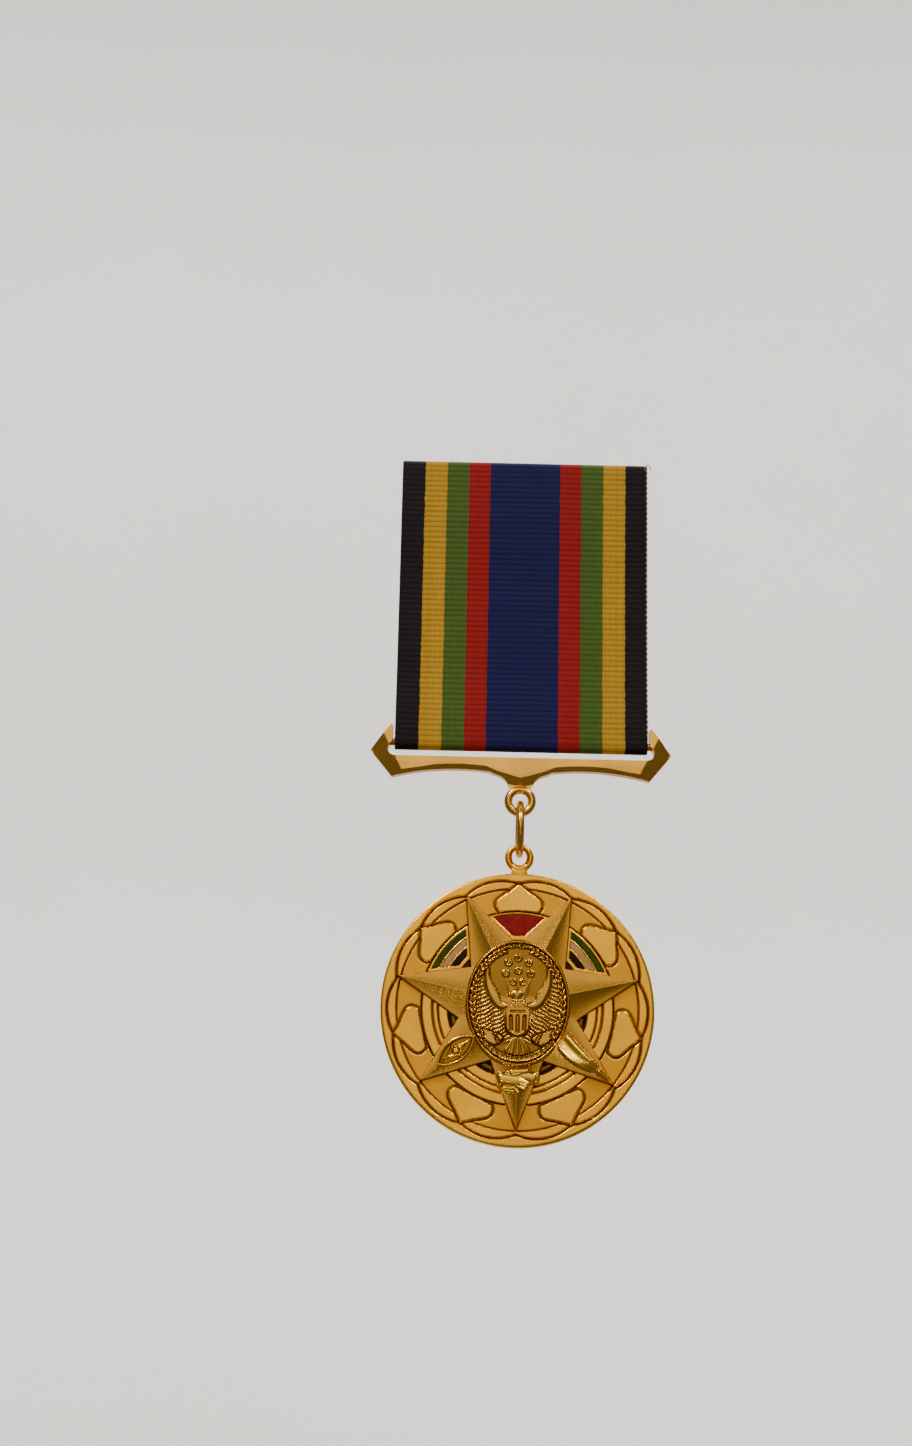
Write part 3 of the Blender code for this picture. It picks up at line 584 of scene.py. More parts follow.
def disc_front(radius, turn):
    """The disc's front: its height, how much painted shade and patina its grooves and low places get,
    and where it is matte.
    """
    place = (turn - radians(-90)) / SECTOR
    space = np.floor(place + 1e-9) % ARMS  # counted from the bottom arm
    upper = (space >= 2) & (space <= 4)
    a = np.abs((place - np.floor(place + 1e-9) - 0.5) * SECTOR)
    x, y = radius * np.cos(a), radius * np.sin(a)  # x along the petal's middle
    star = -within(radius * np.cos(turn), radius * np.sin(turn), star_loop())
    # outer part: matte field, lobes, rim
    tops = ((18.42, 0.0), (19.05, SECTOR / 4), (18.15, SECTOR / 2))
    centre, bend = circle_through(*[(r * cos(t), r * sin(t)) for r, t in tops])
    lobe = np.hypot(x - centre[0], y - centre[1]) - bend  # over 0 outside the lobe
    height = FIELD + 0.2 * ease(radius - 17.68, 0.06)
    height = carve(height, radius - 17.66, 0.13, 0.66)
    height = lift(height, RAISED, lobe, 0.06)
    height = carve(height, lobe, 0.19, 0.62)
    petal = within(x, y, [tuple(p) for p in PETAL] + [(px, -py) for px, py in PETAL[-2::-1]])
    height = lift(height, RAISED, petal, 0.09)
    height = carve(height, petal + 0.06, 0.2, 0.64)
    matte = ease(17.6 - radius, 0.05) * ease(-petal - 0.12, 0.05) * ease(radius - 14.25, 0.05)
    # rings inside: plain between the lower arms, cells between the upper ones
    step = 0.5 + 0.22 * ease(radius - 9.1, 0.07) * ease(9.8 - radius, 0.07)
    plain = np.where(radius < 9.9, step, RING_FACE)
    for middle, half, floor in ((10.05, 0.2, 0.6), (11.62, 0.14, 0.7), (12.42, 0.16, 0.7)):
        plain = carve(plain, radius - middle, half, floor)
    plain = np.where((radius > 11.66) & (radius < 12.36), np.minimum(plain, 0.98), plain)
    plain = carve(plain, radius - 14.05, 0.15, 0.64)
    cells = np.where(radius < 10.05, 0.5, RING_FACE)
    away = ease(star - CELL_BORDER, 0.05)
    sunk = np.zeros_like(radius)
    for low, high in RINGS.values():
        sunk = np.maximum(sunk, ease(radius - low, 0.05) * ease(high - radius, 0.05) * away)
    top = ease(radius - RED_RING[0], 0.05) * ease(RED_RING[1] - radius, 0.05) * away
    sunk = np.where(space == 3, top, sunk) * upper
    cells = carve(cells - 0.4 * sunk, radius - 14.3, 0.15, 0.64)
    inside = radius < np.where(upper, 14.38, 14.14)
    height = np.where(inside, np.where(upper, cells, plain), height)
    # painted shade with patina: darker the lower the surface lies, and fixed under the enamel cells
    groove = np.where(inside, (0.94 - height) / 0.28, (0.8 - height) / 0.16)
    groove = np.where(inside & (sunk > 0.3), 0.6, unit(groove))
    return height, groove, np.where(inside, 0.0, matte)


def disc_eye(u, v, w):
    """Places on the disc's eye, its wall thicker than the ring's at the sides and below."""
    radius = np.hypot(u, v)
    inner = unit((DISC_EYE[0] - radius) / DISC_EYE[1])
    scale = 1 - 0.24 * (1 - unit(v / radius)) * inner / radius
    return front(u * scale, v * scale + DISC_EYE_Z, w)


def medal_disc():
    """The disc from the middle of its front, over its edge, to the plain reverse with its low rim."""
    spokes = 728
    turn = np.arange(spokes) * tau / spokes - pi / 2
    radii = np.concatenate([[1.5, 4.0, 6.5, 8.0], np.arange(8.8, 9.85, 0.15),
                            np.arange(9.85, 14.6, 0.087), np.arange(14.6, 17.4, 0.115),
                            np.arange(17.4, 19.4, 0.085)])
    levels = [(radius, *disc_front(np.full(spokes, radius), turn)) for radius in radii]
    border = [(19.55, 1.09), (19.78, 1.07), (19.93, 0.98), (20.0, 0.82), (20.0, -0.82),
              (19.93, -0.98), (19.75, -1.08), (19.5, -1.1), (18.9, -1.1), (18.8, -1.06),
              (18.7, -0.98), (18.5, -0.96), (6.0, -0.96)]
    for radius, h in border:
        reverse = h < -0.9 and radius < 18.75
        levels.append((radius, *(np.full(spokes, n) for n in (h, 0.0, 0.6 if reverse else 0.0))))
    rings = [round_disc(radius, turn, h) for radius, h, _, _ in levels]
    eye = torus(*DISC_EYE, disc_eye, 72, 20)
    neck = [(-1.3, -61.5), (1.3, -61.5), (1.15, -60.3), (0.9, -59.75), (-0.9, -59.75), (-1.15, -60.3)]
    points, faces = shells(loft(rings), eye, slab(neck, -0.6, 0.6, 0.15, front))
    # groove carries the painted shade with patina from disc_front
    values = {"groove": np.concatenate([level[2] for level in levels]),
              "matte": np.concatenate([level[3] for level in levels])}
    piece("disc", points, faces, GOLD_DISC, "medal", "gold", ["medal_disc"], 80, values)


def star():
    """Seven two-faced arms with rounded ridges, slightly hollow faces and leaning sides."""
    parts = [0.0, 0.004, 0.009, 0.018, 0.035, 0.07, 0.12, 0.18, 0.25, 0.32, 0.39, SECTOR / 2]
    parts = [-p for p in parts[:0:-1]] + parts[:-1]
    edge, reach = star_edge()
    normal = np.array([edge[1], -edge[0]]) / hypot(*edge)
    inner = (STAR_INNER * cos(SECTOR / 2), STAR_INNER * sin(SECTOR / 2))
    fall = (STAR_PEAK - STAR_EDGE - RIDGE_FALL * inner[0]) / inner[1]
    turns = np.array([radians(-90) + SECTOR * k + p for k in range(ARMS) for p in parts])
    around = np.array([abs(p) for p in parts] * ARMS)
    limit = 1.0 / (normal[0] * np.cos(around) + normal[1] * np.sin(around))
    top = (reach - 0.1) * limit
    tip = top.max()
    rings = []
    for share in (0.03, 0.2, 0.35, 0.45, 0.52, 0.58, 0.64, 0.7, 0.76, 0.82, 0.88, 0.93, 0.97, 0.99,
                  1.0):
        radius = top * share
        x, y = radius * np.cos(around), radius * np.sin(around)
        rounded = np.sqrt(y * y + 0.05**2) - 0.05
        h = STAR_PEAK - RIDGE_FALL * x - fall * rounded
        depth = unit(y / np.maximum((tip - x) * tan(radians(21.15)), 1e-3))
        h = h - 0.1 * np.sin(pi * depth) * unit((tip - x) / 8)
        if share == 1.0:
            h = h - 0.05
        rings.append(round_disc(radius, turns, h, STAR_RISE))
    for grow, h in ((-0.06, 1.5), (0.08, 0.95), (0.12, 0.72), (0.12, 0.55)):
        rings.append(round_disc((reach + grow) * limit, turns, np.full(len(turns), h), STAR_RISE))
    piece("star", *loft(rings), GOLD_STAR, "medal", "gold", ["medal_star"], sharp=30)


def enamel_arc(node, material, slot, space, ring):
    """A slightly domed enamel body that fills its cell between two arms."""
    across, around = 14, 90
    loop = star_loop(CELL_BORDER - 0.02)
    grids = []
    for v in np.linspace(0, 1, across):
        radius = ring[0] + (ring[1] - ring[0]) * v
        low = np.full(2, arm_turn(space + 0.5))
        far = low + np.array([-SECTOR / 2, SECTOR / 2])
        for _ in range(30):  # halving: each end goes to the star's border
            middle = (low + far) / 2
            free = within(radius * np.cos(middle), radius * np.sin(middle), loop) < 0
            low, far = np.where(free, middle, low), np.where(free, far, middle)
        turn = low[0] + (low[1] - low[0]) * np.linspace(0, 1, around)
        u = np.linspace(-1, 1, around)
        dome = 0.04 * (1 - (2 * v - 1) ** 6) * (1 - u**20)
        grids.append(round_disc(radius, turn, 0.97 + dome))
    grid = np.array(grids)
    under = grid.copy()
    under[..., 1] = -0.62
    count = across * around
    index = np.arange(count).reshape(across, around)
    faces = []
    for i in range(across - 1):
        for j in range(around - 1):
            quad = [index[i, j], index[i, j + 1], index[i + 1, j + 1], index[i + 1, j]]
            faces += [[int(q) for q in quad], [int(q) + count for q in quad[::-1]]]
    rim = [*index[0], *index[1:, -1], *index[-1, -2::-1], *index[-2:0:-1, 0]]
    for a, b in zip(rim, rim[1:] + rim[:1]):
        faces.append([int(b), int(a), int(a) + count, int(b) + count])
    points = np.concatenate([grid.reshape(-1, 3), under.reshape(-1, 3)])
    piece(node.replace("enamel", "arc"), points, faces, material, "medal", slot, [node], sharp=50)


def bulge(distance):
    """1 at distance 0, and 0 from 1 on either side."""
    return unit(1 - distance**2)


def emblem_height(x, z):
    """An oval badge: leaf wreath, plain bird with raised wings, ribbed shield, scroll below."""
    cx, cz = x / 7.45, (z - 1.0) / 9.1
    edge = (1 - np.sqrt(cx * cx + cz * cz)) * 8.2  # about the distance from the border
    side = np.abs(x)
    # a finely textured ground
    height = np.sin(x * 17.0 + 3 * np.sin(z * 5.3)) * np.sin(z * 16.0 + 2 * np.sin(x * 7.1))
    height = 2.46 + 0.05 * height
    # feathers between the wings and the wreath
    feather = np.abs(np.sin((side * 0.55 + z) * 5.2 + 0.4 * np.sin(side * 3)))
    row = np.abs(np.sin(side * 1.7 + 0.6))
    clear = np.interp(z, [0.0, 0.6, 1.1, 2.3, 3.6, 5.1, 7.3], [1.0, 1.3, 2.2, 2.75, 3.5, 4.1, 4.3])
    zone = ease(6.4 - z, 0.8) * ease(z + 4.2 + 0.35 * side, 0.3) * ease(side - clear, 0.15)
    feathers = zone * (0.3 * feather * (0.6 + 0.4 * row) - 0.02)
    height = np.where(zone > 0.02, height + feathers, height)
    # wings' leading edges
    outer = [(4.15, 7.3), (4.85, 5.2), (4.75, 3.2), (4.0, 1.4), (3.0, 0.3), (1.5, 0.0)]
    inner = [(1.2, 0.55), (2.2, 1.1), (2.75, 2.3), (3.5, 3.6), (4.1, 5.1), (4.15, 7.3)]
    wing = within(side, z, smooth_path(outer, 5) + smooth_path(inner, 5))
    height = lift(height, 2.86 + 0.12 * unit(wing / 0.35), wing, 0.07)
    height = carve(height, wing + 0.1, 0.13, 2.3)
    cap = smooth_path([(4.2, 7.0), (3.4, 7.95), (1.9, 8.65), (0.0, 8.8)], 5)
    height = carve(height, path_distance(side, z, cap), 0.14, 2.3)
    # a ring of bosses in the field above
    for k in range(8):
        turn, reach = (tau * k / 7 + pi / 2, 1.85) if k < 7 else (0.0, 0.0)
        d = np.hypot(x - reach * cos(turn), z - 5.65 - reach * sin(turn))
        height = height + 0.22 * bulge((d - 0.4) / 0.2) + 0.2 * bulge(d / 0.2)
    # head and neck, turned to the left
    head = np.hypot((x + 0.1) / 1.0, (z - 2.15) / 0.85)
    height = np.maximum(height, 2.5 + 0.5 * np.sqrt(bulge(head)))
    beak = within(x, z, [(-0.6, 2.7), (-1.5, 2.35), (-1.85, 1.65), (-1.35, 1.85), (-0.7, 1.7)])
    height = np.maximum(height, 2.5 + 0.36 * unit(beak / 0.25 + 0.15))
    neck = within(x, z, [(-0.85, 2.0), (0.9, 2.3), (1.7, 0.3), (1.6, -0.2), (-1.6, -0.2),
                         (-1.3, 0.6)])
    scales = 0.06 * np.abs(np.sin(x * 5.2 + np.where(np.floor(z * 2.6) % 2 == 0, 0, 1.57)))
    scales = 2.5 + 0.3 * unit(neck / 0.35) + (scales + 0.05 * np.sin(z * 16.3))
    height = np.maximum(height, np.where(neck > 0, scales, 0))
    # shield
    shield = [(1.5, 0.2), (1.85, -0.35), (1.7, -1.6), (1.6, -2.9), (0.9, -3.6), (0.0, -3.95)]
    shield = within(x, z, mirrored(shield))
    height = lift(height, 3.02, shield, 0.07)
    height = carve(height, shield + 0.12, 0.15, 2.3)
    height = carve(height, path_distance(x, z, [(-0.95, -0.32), (0.95, -0.32)]), 0.14, 2.55)
    for sx, low in ((-1.0, -3.0), (0.0, -3.25), (1.0, -3.0)):
        height = carve(height, path_distance(x, z, [(sx, -1.05), (sx * 0.93, low)]), 0.24, 2.55)
    # tail fan
    fan = within(x, z, mirrored([(0.6, -3.9), (1.9, -5.9), (1.2, -6.55), (0.0, -6.75)]))
    ribs = 0.14 * np.abs(np.cos(np.arctan2(x, -(z + 2.9)) * 12.0))
    ribs = 2.6 + 0.16 * unit(fan / 0.2) + ribs
    height = np.where((fan > 0) & (shield <= -0.1), ribs, height)
    # scroll: two raised ends and a band along the bottom
    end = within(side, z, [(2.1, -4.1), (2.9, -3.55), (4.9, -2.95), (5.55, -3.5), (5.2, -4.4),
                           (3.3, -5.2), (2.5, -4.9)])
    height = lift(height, 2.9, end, 0.07)
    height = carve(height, end + 0.08, 0.13, 2.32)
    for line in ([(2.5, -4.75), (3.1, -3.75)], [(2.9, -4.95), (3.5, -3.6)]):
        away = path_distance(side, z, line) + np.where(end > 0, 0, 1)
        height = carve(height, away, 0.1, 2.6)
    band = mirrored([(-5.3, -4.6), (-4.0, -5.75), (-2.2, -6.75), (0.0, -7.15)])
    band = path_distance(x, z, smooth_path(band, 6))
    height = lift(height, 2.84, 0.45 - band, 0.07)
    height = carve(height, band - 0.5, 0.12, 2.35)
    ticks = np.abs(np.sin(x * 4.4))
    height = np.where(band < 0.24, 2.66 + 0.1 * ease(ticks - 0.5, 0.3), height)
    # wreath, two links at its top, and border
    turn = np.abs(np.arctan2(cx, -cz))  # 0 at the bottom
    v = (edge - 0.98) / 0.6
    leaf = (turn * 8.3 / 0.98 - np.abs(v) * 0.85) % 1.0
    leaf = (1 - np.abs(2 * leaf - 1) ** 4) * unit(1 - np.abs(v) ** 5)
    wreath = carve(2.44 + 0.4 * leaf, v * 0.6, 0.06, 2.6)
    height = np.where((edge < 1.6) & (turn > 0.85) & (turn < 2.88), wreath, height)
    for middle in (-1.75, 1.2):
        link = np.hypot((x - middle) / 1.45, (z - 9.3 + 0.03 * (x - middle) ** 2) / 0.42)
        link = np.maximum(height, 2.45 + 0.42 * bulge((link - 0.8) / 0.28))
        height = np.where(turn >= 2.8, link, height)
    height = carve(height, edge - 0.33, 0.14, 2.34)
    lip = 2.52 + 0.2 * np.sqrt(bulge((edge - 0.14) / 0.2))
    return np.where(edge < 0.3, lip, height)


def emblem():
    turns = np.linspace(0, tau, 220, endpoint=False)
    loop = [(7.42 * cos(t), 1.0 + 9.05 * sin(t)) for t in turns]
    struck("emblem", "centre_emblem", (GOLD_STAR, "gold", 75), loop, emblem_height, 1.55, 0.105,
           lambda x, z, h: on_disc(x, z - 0.4, h), (2.68, 0.26, 0.72), lean=0.3)


def hands_height(x, y):
    """Two clasped hands across the bottom arm, of rounded rods; x runs down it and y to the right."""
    # each rod's two ends, radius and height
    rods = [((10.75, -2.0), (11.05, 0.2), 1.1, -0.28), ((10.25, 0.4), (10.5, 2.3), 0.95, -0.22),
            ((9.95, -2.5), (11.5, -2.35), 0.36, 0.12), ((9.95, 3.0), (11.2, 2.75), 0.34, 0.14),
            ((9.75, -0.7), (9.6, 1.3), 0.46, 0.22), ((9.8, -1.35), (10.45, -1.0), 0.3, 0.22),
            ((10.2, -0.55), (9.95, 0.5), 0.26, 0.36), ((10.7, 0.3), (11.35, 1.55), 0.27, 0.36),
            ((11.15, 0.15), (11.75, 1.4), 0.26, 0.34), ((11.6, -0.05), (12.15, 1.1), 0.24, 0.3),
            ((11.95, -1.75), (12.1, -0.7), 0.23, 0.28), ((12.3, -1.7), (12.5, -0.55), 0.21, 0.2),
            ((12.65, -1.35), (12.8, -0.4), 0.19, 0.1), ((11.9, -0.45), (12.5, 0.25), 0.26, 0.2)]
    height = np.full(np.shape(x), -0.75)
    for a, b, radius, rise in rods:
        d = path_distance(x, y, [a, b]) / radius
        rod = rise + radius * 0.75 * unit(1 - d**3) ** 0.6
        height = np.where(d < 1, np.maximum(height, rod), height)
    return height


def hands():
    loop = [(9.5, -2.95), (9.25, -1.2), (9.0, 0.2), (9.05, 1.6), (9.5, 3.25), (11.35, 3.2),
            (11.6, 2.2), (12.3, 1.6), (12.6, 0.6), (13.1, -0.4), (13.0, -1.6), (12.1, -2.2),
            (11.9, -2.8)]
    struck("hands", "clasped_hands", (POLISHED, "polished_gold", 70), smooth_path(loop, 5, True),
           hands_height, -1.1, 0.07, on_arm(0), (0.05, 0.3, 0.7))


ALMOND = (11.2, -0.2, 3.45, 1.62)  # middle along and across, half length, half width


def almond_loop():
    """Two arcs that meet in points."""
    mx, my, half, side = ALMOND
    bend = (half**2 + side**2) / (2 * side)
    sweep = atan2(half, bend - side)
    turns = np.linspace(-sweep, sweep, 40)
    upper = [(mx + bend * sin(t), my + bend * cos(t) - (bend - side)) for t in turns]
    lower = [(mx + bend * sin(t), my - bend * cos(t) + (bend - side)) for t in turns[-2:0:-1]]
    return upper + lower


def almond_height(x, y):
    """A rim round a four-pointed star with a boss."""
    edge = within(x, y, almond_loop())
    u, v = np.abs(x - ALMOND[0]), np.abs(y - ALMOND[1])
    height = np.full(np.shape(x), 0.3)
    # a four-pointed star with hollow sides, and its rim lines
    curve = (u / 2.75) ** 0.62 + (v / 1.2) ** 0.62
    height = height + 0.24 * ease(1 - curve, 0.07)
    height = carve(height, (curve - 0.72) * 1.4, 0.13, 0.42)
    d = np.hypot(u, v)
    height = np.where(d < 0.62, np.maximum(height, 0.46), height)
    height = carve(height, d - 0.48, 0.13, 0.26)
    height = height + 0.12 * ease(0.35 - d, 0.08)
    height = lift(height, 0.6, 0.3 - edge, 0.06)
    height = carve(height, edge - 0.4, 0.08, 0.22)
    return height - 0.12 * ease(0.06 - edge, 0.05)


def almond():
    struck("almond", "almond_medallion", (POLISHED, "polished_gold", 60), almond_loop(),
           almond_height, -1.0, 0.07, on_arm(-1), (0.42, 0.14, 0.85))


def horn():
    """A curved tapering horn with a collar and a mouthpiece.
    Across it run a broad face, a hollow and a narrow ridge."""
    # along the arm, and the horn's two edges across it
    stations = [(8.3, 1.72, -1.3), (9.0, 1.68, -1.5), (10.0, 1.5, -1.62), (11.0, 1.34, -1.62),
                (12.0, 1.2, -1.5), (13.0, 1.08, -1.28), (13.8, 0.98, -1.02), (14.4, 0.88, -0.78),
                (14.62, 0.52, -0.48), (14.85, 0.5, -0.46), (14.98, 0.72, -0.62), (15.6, 0.6, -0.52),
                (16.3, 0.5, -0.44), (16.8, 0.42, -0.36), (16.98, 0.2, -0.2)]
    place = on_arm(1)
    turn = np.linspace(0, tau, 72, endpoint=False)
    across = [-1, -0.93, -0.82, -0.74, -0.08, 0.06, 0.34, 0.44, 0.56, 0.64, 0.8, 0.93, 1]
    section = [0, 0.5, 0.77, 0.81, 1.0, 0.96, 0.74, 0.72, 0.8, 0.77, 0.55, 0.3, 0]
    section = np.interp(np.cos(turn), across, section)
    rings = []
    for x, upper, lower in smooth_path(stations, 4):
        middle, half = (upper + lower) / 2, (upper - lower) / 2
        rise = 0.4 + 0.6 * min(1.0, half / 1.1)
        h = np.where(np.sin(turn) > 0, rise * section, 0.5 * np.sin(turn))
        rings.append(place(np.full(len(turn), x), middle + half * np.cos(turn), h))
    piece("horn", *loft(rings), POLISHED, "medal", "polished_gold", ["curved_horn"], sharp=60)


medal_disc()
star()
enamel_arc("enamel_red_top", RED, "red_enamel", 3, RED_RING)
for side_name, gap in (("left", 4), ("right", 2)):
    for tone, glass in (("black", BLACK), ("white", WHITE), ("green", GREEN)):
        enamel_arc(f"enamel_{tone}_{side_name}", glass, tone + "_enamel", gap, RINGS[tone])
emblem()
hands()
almond()
horn()

# Suspension bar and ring


def lower_drop(x):
    """How far the bar's lower edge is below the medal's top."""
    return 49.7 + 1.3 * ((x - 9.5) / 9.9) ** 2


# The crease between the bar's face and its lower bevel, inwards: x, and how far below the top
CREASE = [(18.0, 50.02), (16.0, 49.72)]
CREASE += [(x, lower_drop(x) - 0.68) for x in (13.0, 11.0, 9.0, 7.0, 5.2)]
CREASE += [(3.6, 49.95), (2.4, 50.3), (1.2, 50.68)]


def bar_height(x, z):
    """The bar's front: a flat face, a bevel along its lower edge, and one broad bevel on each end."""
    side, drop = np.abs(x), TOP_Z - z
    crease = np.array(CREASE + [(0.0, 50.98)])
    limit = np.interp(side, *crease[::-1].T)
    below = path_distance(side, drop, [(30.0, 54.1), *crease]) * np.where(drop > limit, 1, -1)
    run = np.array([-1.4, 2.82])
    run = run / np.linalg.norm(run)
    beyond = (side - 19.4) * run[1] - (drop - 47.2) * run[0]
    lean = drop - np.interp(side, [0, 3, 9.5, 18.6], [50.6, 49.5, 48.75, 48.7])
    face = 1.1 - 0.07 * np.clip(lean, 0, 2)
    height = np.minimum(face - 0.78 * np.clip(below, 0, 1.3), face - 0.4 * np.clip(beyond, 0, 3))
    return np.maximum(height, 0.06)


def bar_loop():
    """The bar's outline, with a round notch under each arrow end."""
    top, notch = TOP_Z - 47.9, 1.15
    right = [(0.0, top)]
    right += [(18.95 + notch * cos(radians(a)), top + notch + notch * sin(radians(a)))
              for a in range(-90, 69, 8)]
    arrow = [(19.35, 43.3), (19.6, 42.9), (22.75, 46.9), (19.4, 51.0)]
    arrow += [(x, lower_drop(x)) for x in np.linspace(19.4, 4.0, 24)[1:-1]]
    arrow += smooth_path([(4.0, 50.35), (2.9, 50.75), (2.15, 51.4), (1.75, 52.2), (1.4, 52.5)], 4)
    right += [(x, TOP_Z - drop) for x, drop in arrow]
    return right + [(-x, z) for x, z in right[:0:-1]]


def suspension_bar():
    lines = []
    for sign in (-1, 1):
        lines.append([(sign * x, TOP_Z - drop) for x, drop in CREASE + [(0.05, 50.96)]])
        lines.append([(sign * (19.3 - 0.497 * i), TOP_Z - 47.4 - i) for i in (0.0, 0.8, 1.6, 2.4)])
    points, faces, flat = relief(bar_loop(), bar_height, 0.0, 0.16, front, lines=lines)
    # the back is the front mirrored, in place of the flat underside round its pole
    count, pole = len(flat), len(points) - 1
    keep = [f for f in faces if pole not in f]
    reverse = points[:count].copy()
    reverse[:, 1] = np.maximum(0.495 - 0.55 * reverse[:, 1], 0.5)
    mirrored = [[i if i >= count else i + pole for i in f][::-1] for f in keep]
    body = np.concatenate([points[:-1], reverse]), keep + mirrored
    eye = torus(1.77, 0.61, 0.66, lambda u, v, w: front(u, v + BAR_EYE_Z, w), 96, 24)
    piece("bar", *shells(body, eye), GOLD, "bar", "gold", ["suspension_bar"], sharp=22)
    rod = both_ends([(0.3, -20.4), (0.46, -20.34), (0.55, -20.2)])
    rod = turned(rod, 32, lambda u, v, h: along_x(u, v + ROD_Z, h))
    piece("rod", *rod, GOLD, "bar", "gold", ["ribbon_rod"])


def jump_ring():
    """A wire ring with its butt joint at the back."""
    wire = torus(3.7625, 0.55, 0.55, lambda u, v, w: along_x(u, v + RING_Z, w), 120, 24,
                 start=radians(22), span=radians(359.0))
    piece("ring", *wire, GOLD, "ring", "gold", ["jump_ring"], sharp=40)


suspension_bar()
jump_ring()

# Ribbon


def ribbon_path():
    """The ribbon's middle line in y and z.
    It runs up the back, over the plate, down the front, round the rod and up the back to the seam."""
    def arc(z, radius, start):
        turns = [radians(start + 180 * i / 16) for i in range(17)]
        return [(radius * cos(t), z + radius * sin(t)) for t in turns]
    head = [(0.375, -6.85), (0.375, -5.75), (0.42, -5.3), (0.85, -4.3), (0.925, -3.95)]
    path = head + arc(3.6, 0.925, 0)
    path += [(-0.65 - 0.275 * cos(pi * i / 14), -3.0 - i) for i in range(15)]
    path += [(-0.675 + 0.3 * cos(pi * i / 12), -28.0 - i) for i in range(12)] + [(-0.975, -40.2)]
    path += arc(ROD_Z, 0.975, 180)
    return path + [(0.975, -40.2), (0.9, -39.6), (0.42, -36.8), (0.375, -36.1), (0.375, -6.9)]


def ribbon():
    """The ribbon as one closed body, with a round rib in every step along its path."""
    path = np.array(ribbon_path())
    length = np.concatenate([[0], np.cumsum(np.hypot(*np.diff(path, axis=0).T))])
    total = length[-1]

    def at(distance):
        return np.stack([np.interp(distance, length, path[:, i]) for i in (0, 1)], 1)

    count = int(total / RIB)
    parts = np.array([0.0, 0.1, 0.3, 0.5, 0.7, 0.9])
    steps = np.concatenate([(parts + k) * total / count for k in range(count)])
    steps = np.append(steps, total)
    share = (steps * count / total) % 1.0
    bump = np.sqrt(bulge(2 * share - 1))
    middle = at(steps)
    run = at(steps + 0.35) - at(steps - 0.35)
    run /= np.linalg.norm(run, axis=1)[:, None]
    normal = np.stack([-run[:, 1], run[:, 0]], 1)
    edge = np.array([0.99, 0.9965, 1.0])
    across = np.concatenate([-edge[::-1], np.linspace(-0.975, 0.975, 40), edge])
    thin = np.array([0.35, 0.75, 0.95] + [1.0] * 40 + [0.95, 0.75, 0.35])
    half = RIBBON_THICKNESS / 2 - 0.075 + 0.075 * bump
    sides = []
    for sign in (1, -1):
        out = sign * normal[:, None, :] * half[:, None, None] * thin[None, :, None]
        out = middle[:, None, :] + out
        x = across[None, :] * (RIBBON_HALF - 0.04 + 0.04 * bump[:, None])
        sides.append(np.stack([np.broadcast_to(x, out.shape[:2]), out[..., 0], out[..., 1]], -1))
    # one closed ring of points per step: across the one side, and back across the other
    rings = np.concatenate([sides[0], sides[1][:, ::-1]], 1)
    u = np.concatenate([across, across[::-1]]) * RIBBON_HALF
    values = {"across": np.tile(u, len(steps)), "along": np.repeat(steps, len(u)),
              "rib": np.repeat(bump, len(u))}
    cloth = piece("ribbon", *loft(rings), CLOTH, None, "ribbon", ["ribbon_head", "ribbon_drape"], 70,
                  values)
    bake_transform(cloth)


def thread(path, radius, sides=10):
    """A round thread along a path of points."""
    path = np.asarray(path, float)
    rings = []
    turn = np.arange(sides) * tau / sides
    for i, point in enumerate(path):
        run = path[min(i + 1, len(path) - 1)] - path[max(i - 1, 0)]
        run /= np.linalg.norm(run)
        side = np.cross(run, [0.3, 0.2, 1.0] if abs(run[2]) < 0.8 else [0.2, 1.0, 0.1])
        side /= np.linalg.norm(side)
        up = np.cross(run, side)
        size = radius * (0.5 if i in (0, len(path) - 1) else 1.0)
        rings.append(point + size * (np.cos(turn)[:, None] * side + np.sin(turn)[:, None] * up))
    return loft(rings)


def stitches():
    """A running seam across the back of the ribbon, below the pin."""
    x = np.linspace(-17.0, 17.0, 400)
    wave = np.cos(x * pi / 1.1)
    y = 0.62 + 0.4 * np.clip(wave + 0.35, -0.6, 0.9) / 0.9
    path = np.stack([x, np.minimum(y, 1.03), -6.15 + 0.06 * np.sin(x * 2.3)], -1)
    piece("stitches", *thread(path, 0.15), THREAD, "brooch", "thread", ["seam_thread"], sharp=80)


def edge_threads():
    """The catch thread that locks the ribbon's right edge, loose at the top corner."""
    low, high = -39.6, 3.4
    heights = [-40.0, -37.0, -34.0, -31.0, -28.0, -17.0, -13.5, -10.0, -6.5, -3.0]
    front_layer = [-0.975, -0.887, -0.675, -0.463, -0.375, -0.375, -0.463, -0.65, -0.837, -0.925]
    loop = [(0.0, 0.1), (0.11, 0.16), (0.0, 0.2), (-0.11, 0.16)]  # one rib's: outwards, to the front
    path = []
    for i in range(int((high - low) / RIB * 4)):
        z = high - i * RIB / 4
        out, ahead = loop[i % 4]
        path.append((19.02 + out, np.interp(z, heights, front_layer) - ahead, z))
    edging = thread(smooth_path(path, 2), 0.075, 8)
    edging = piece("edge_thread", *edging, EDGE_THREAD, None, "thread", sharp=80)
    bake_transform(edging)
    curl = smooth_path([(19.0, -1.1, 3.4), (18.7, -1.2, 3.9), (18.9, -1.2, 4.35), (19.3, -1.35, 4.5),
                        (19.55, -1.2, 4.1), (19.62, -1.1, 3.6)], 6)
    piece("loose_thread", *thread(curl, 0.07, 8), EDGE_THREAD, "brooch", "thread", sharp=80)


ribbon()
stitches()
edge_threads()

# Brooch


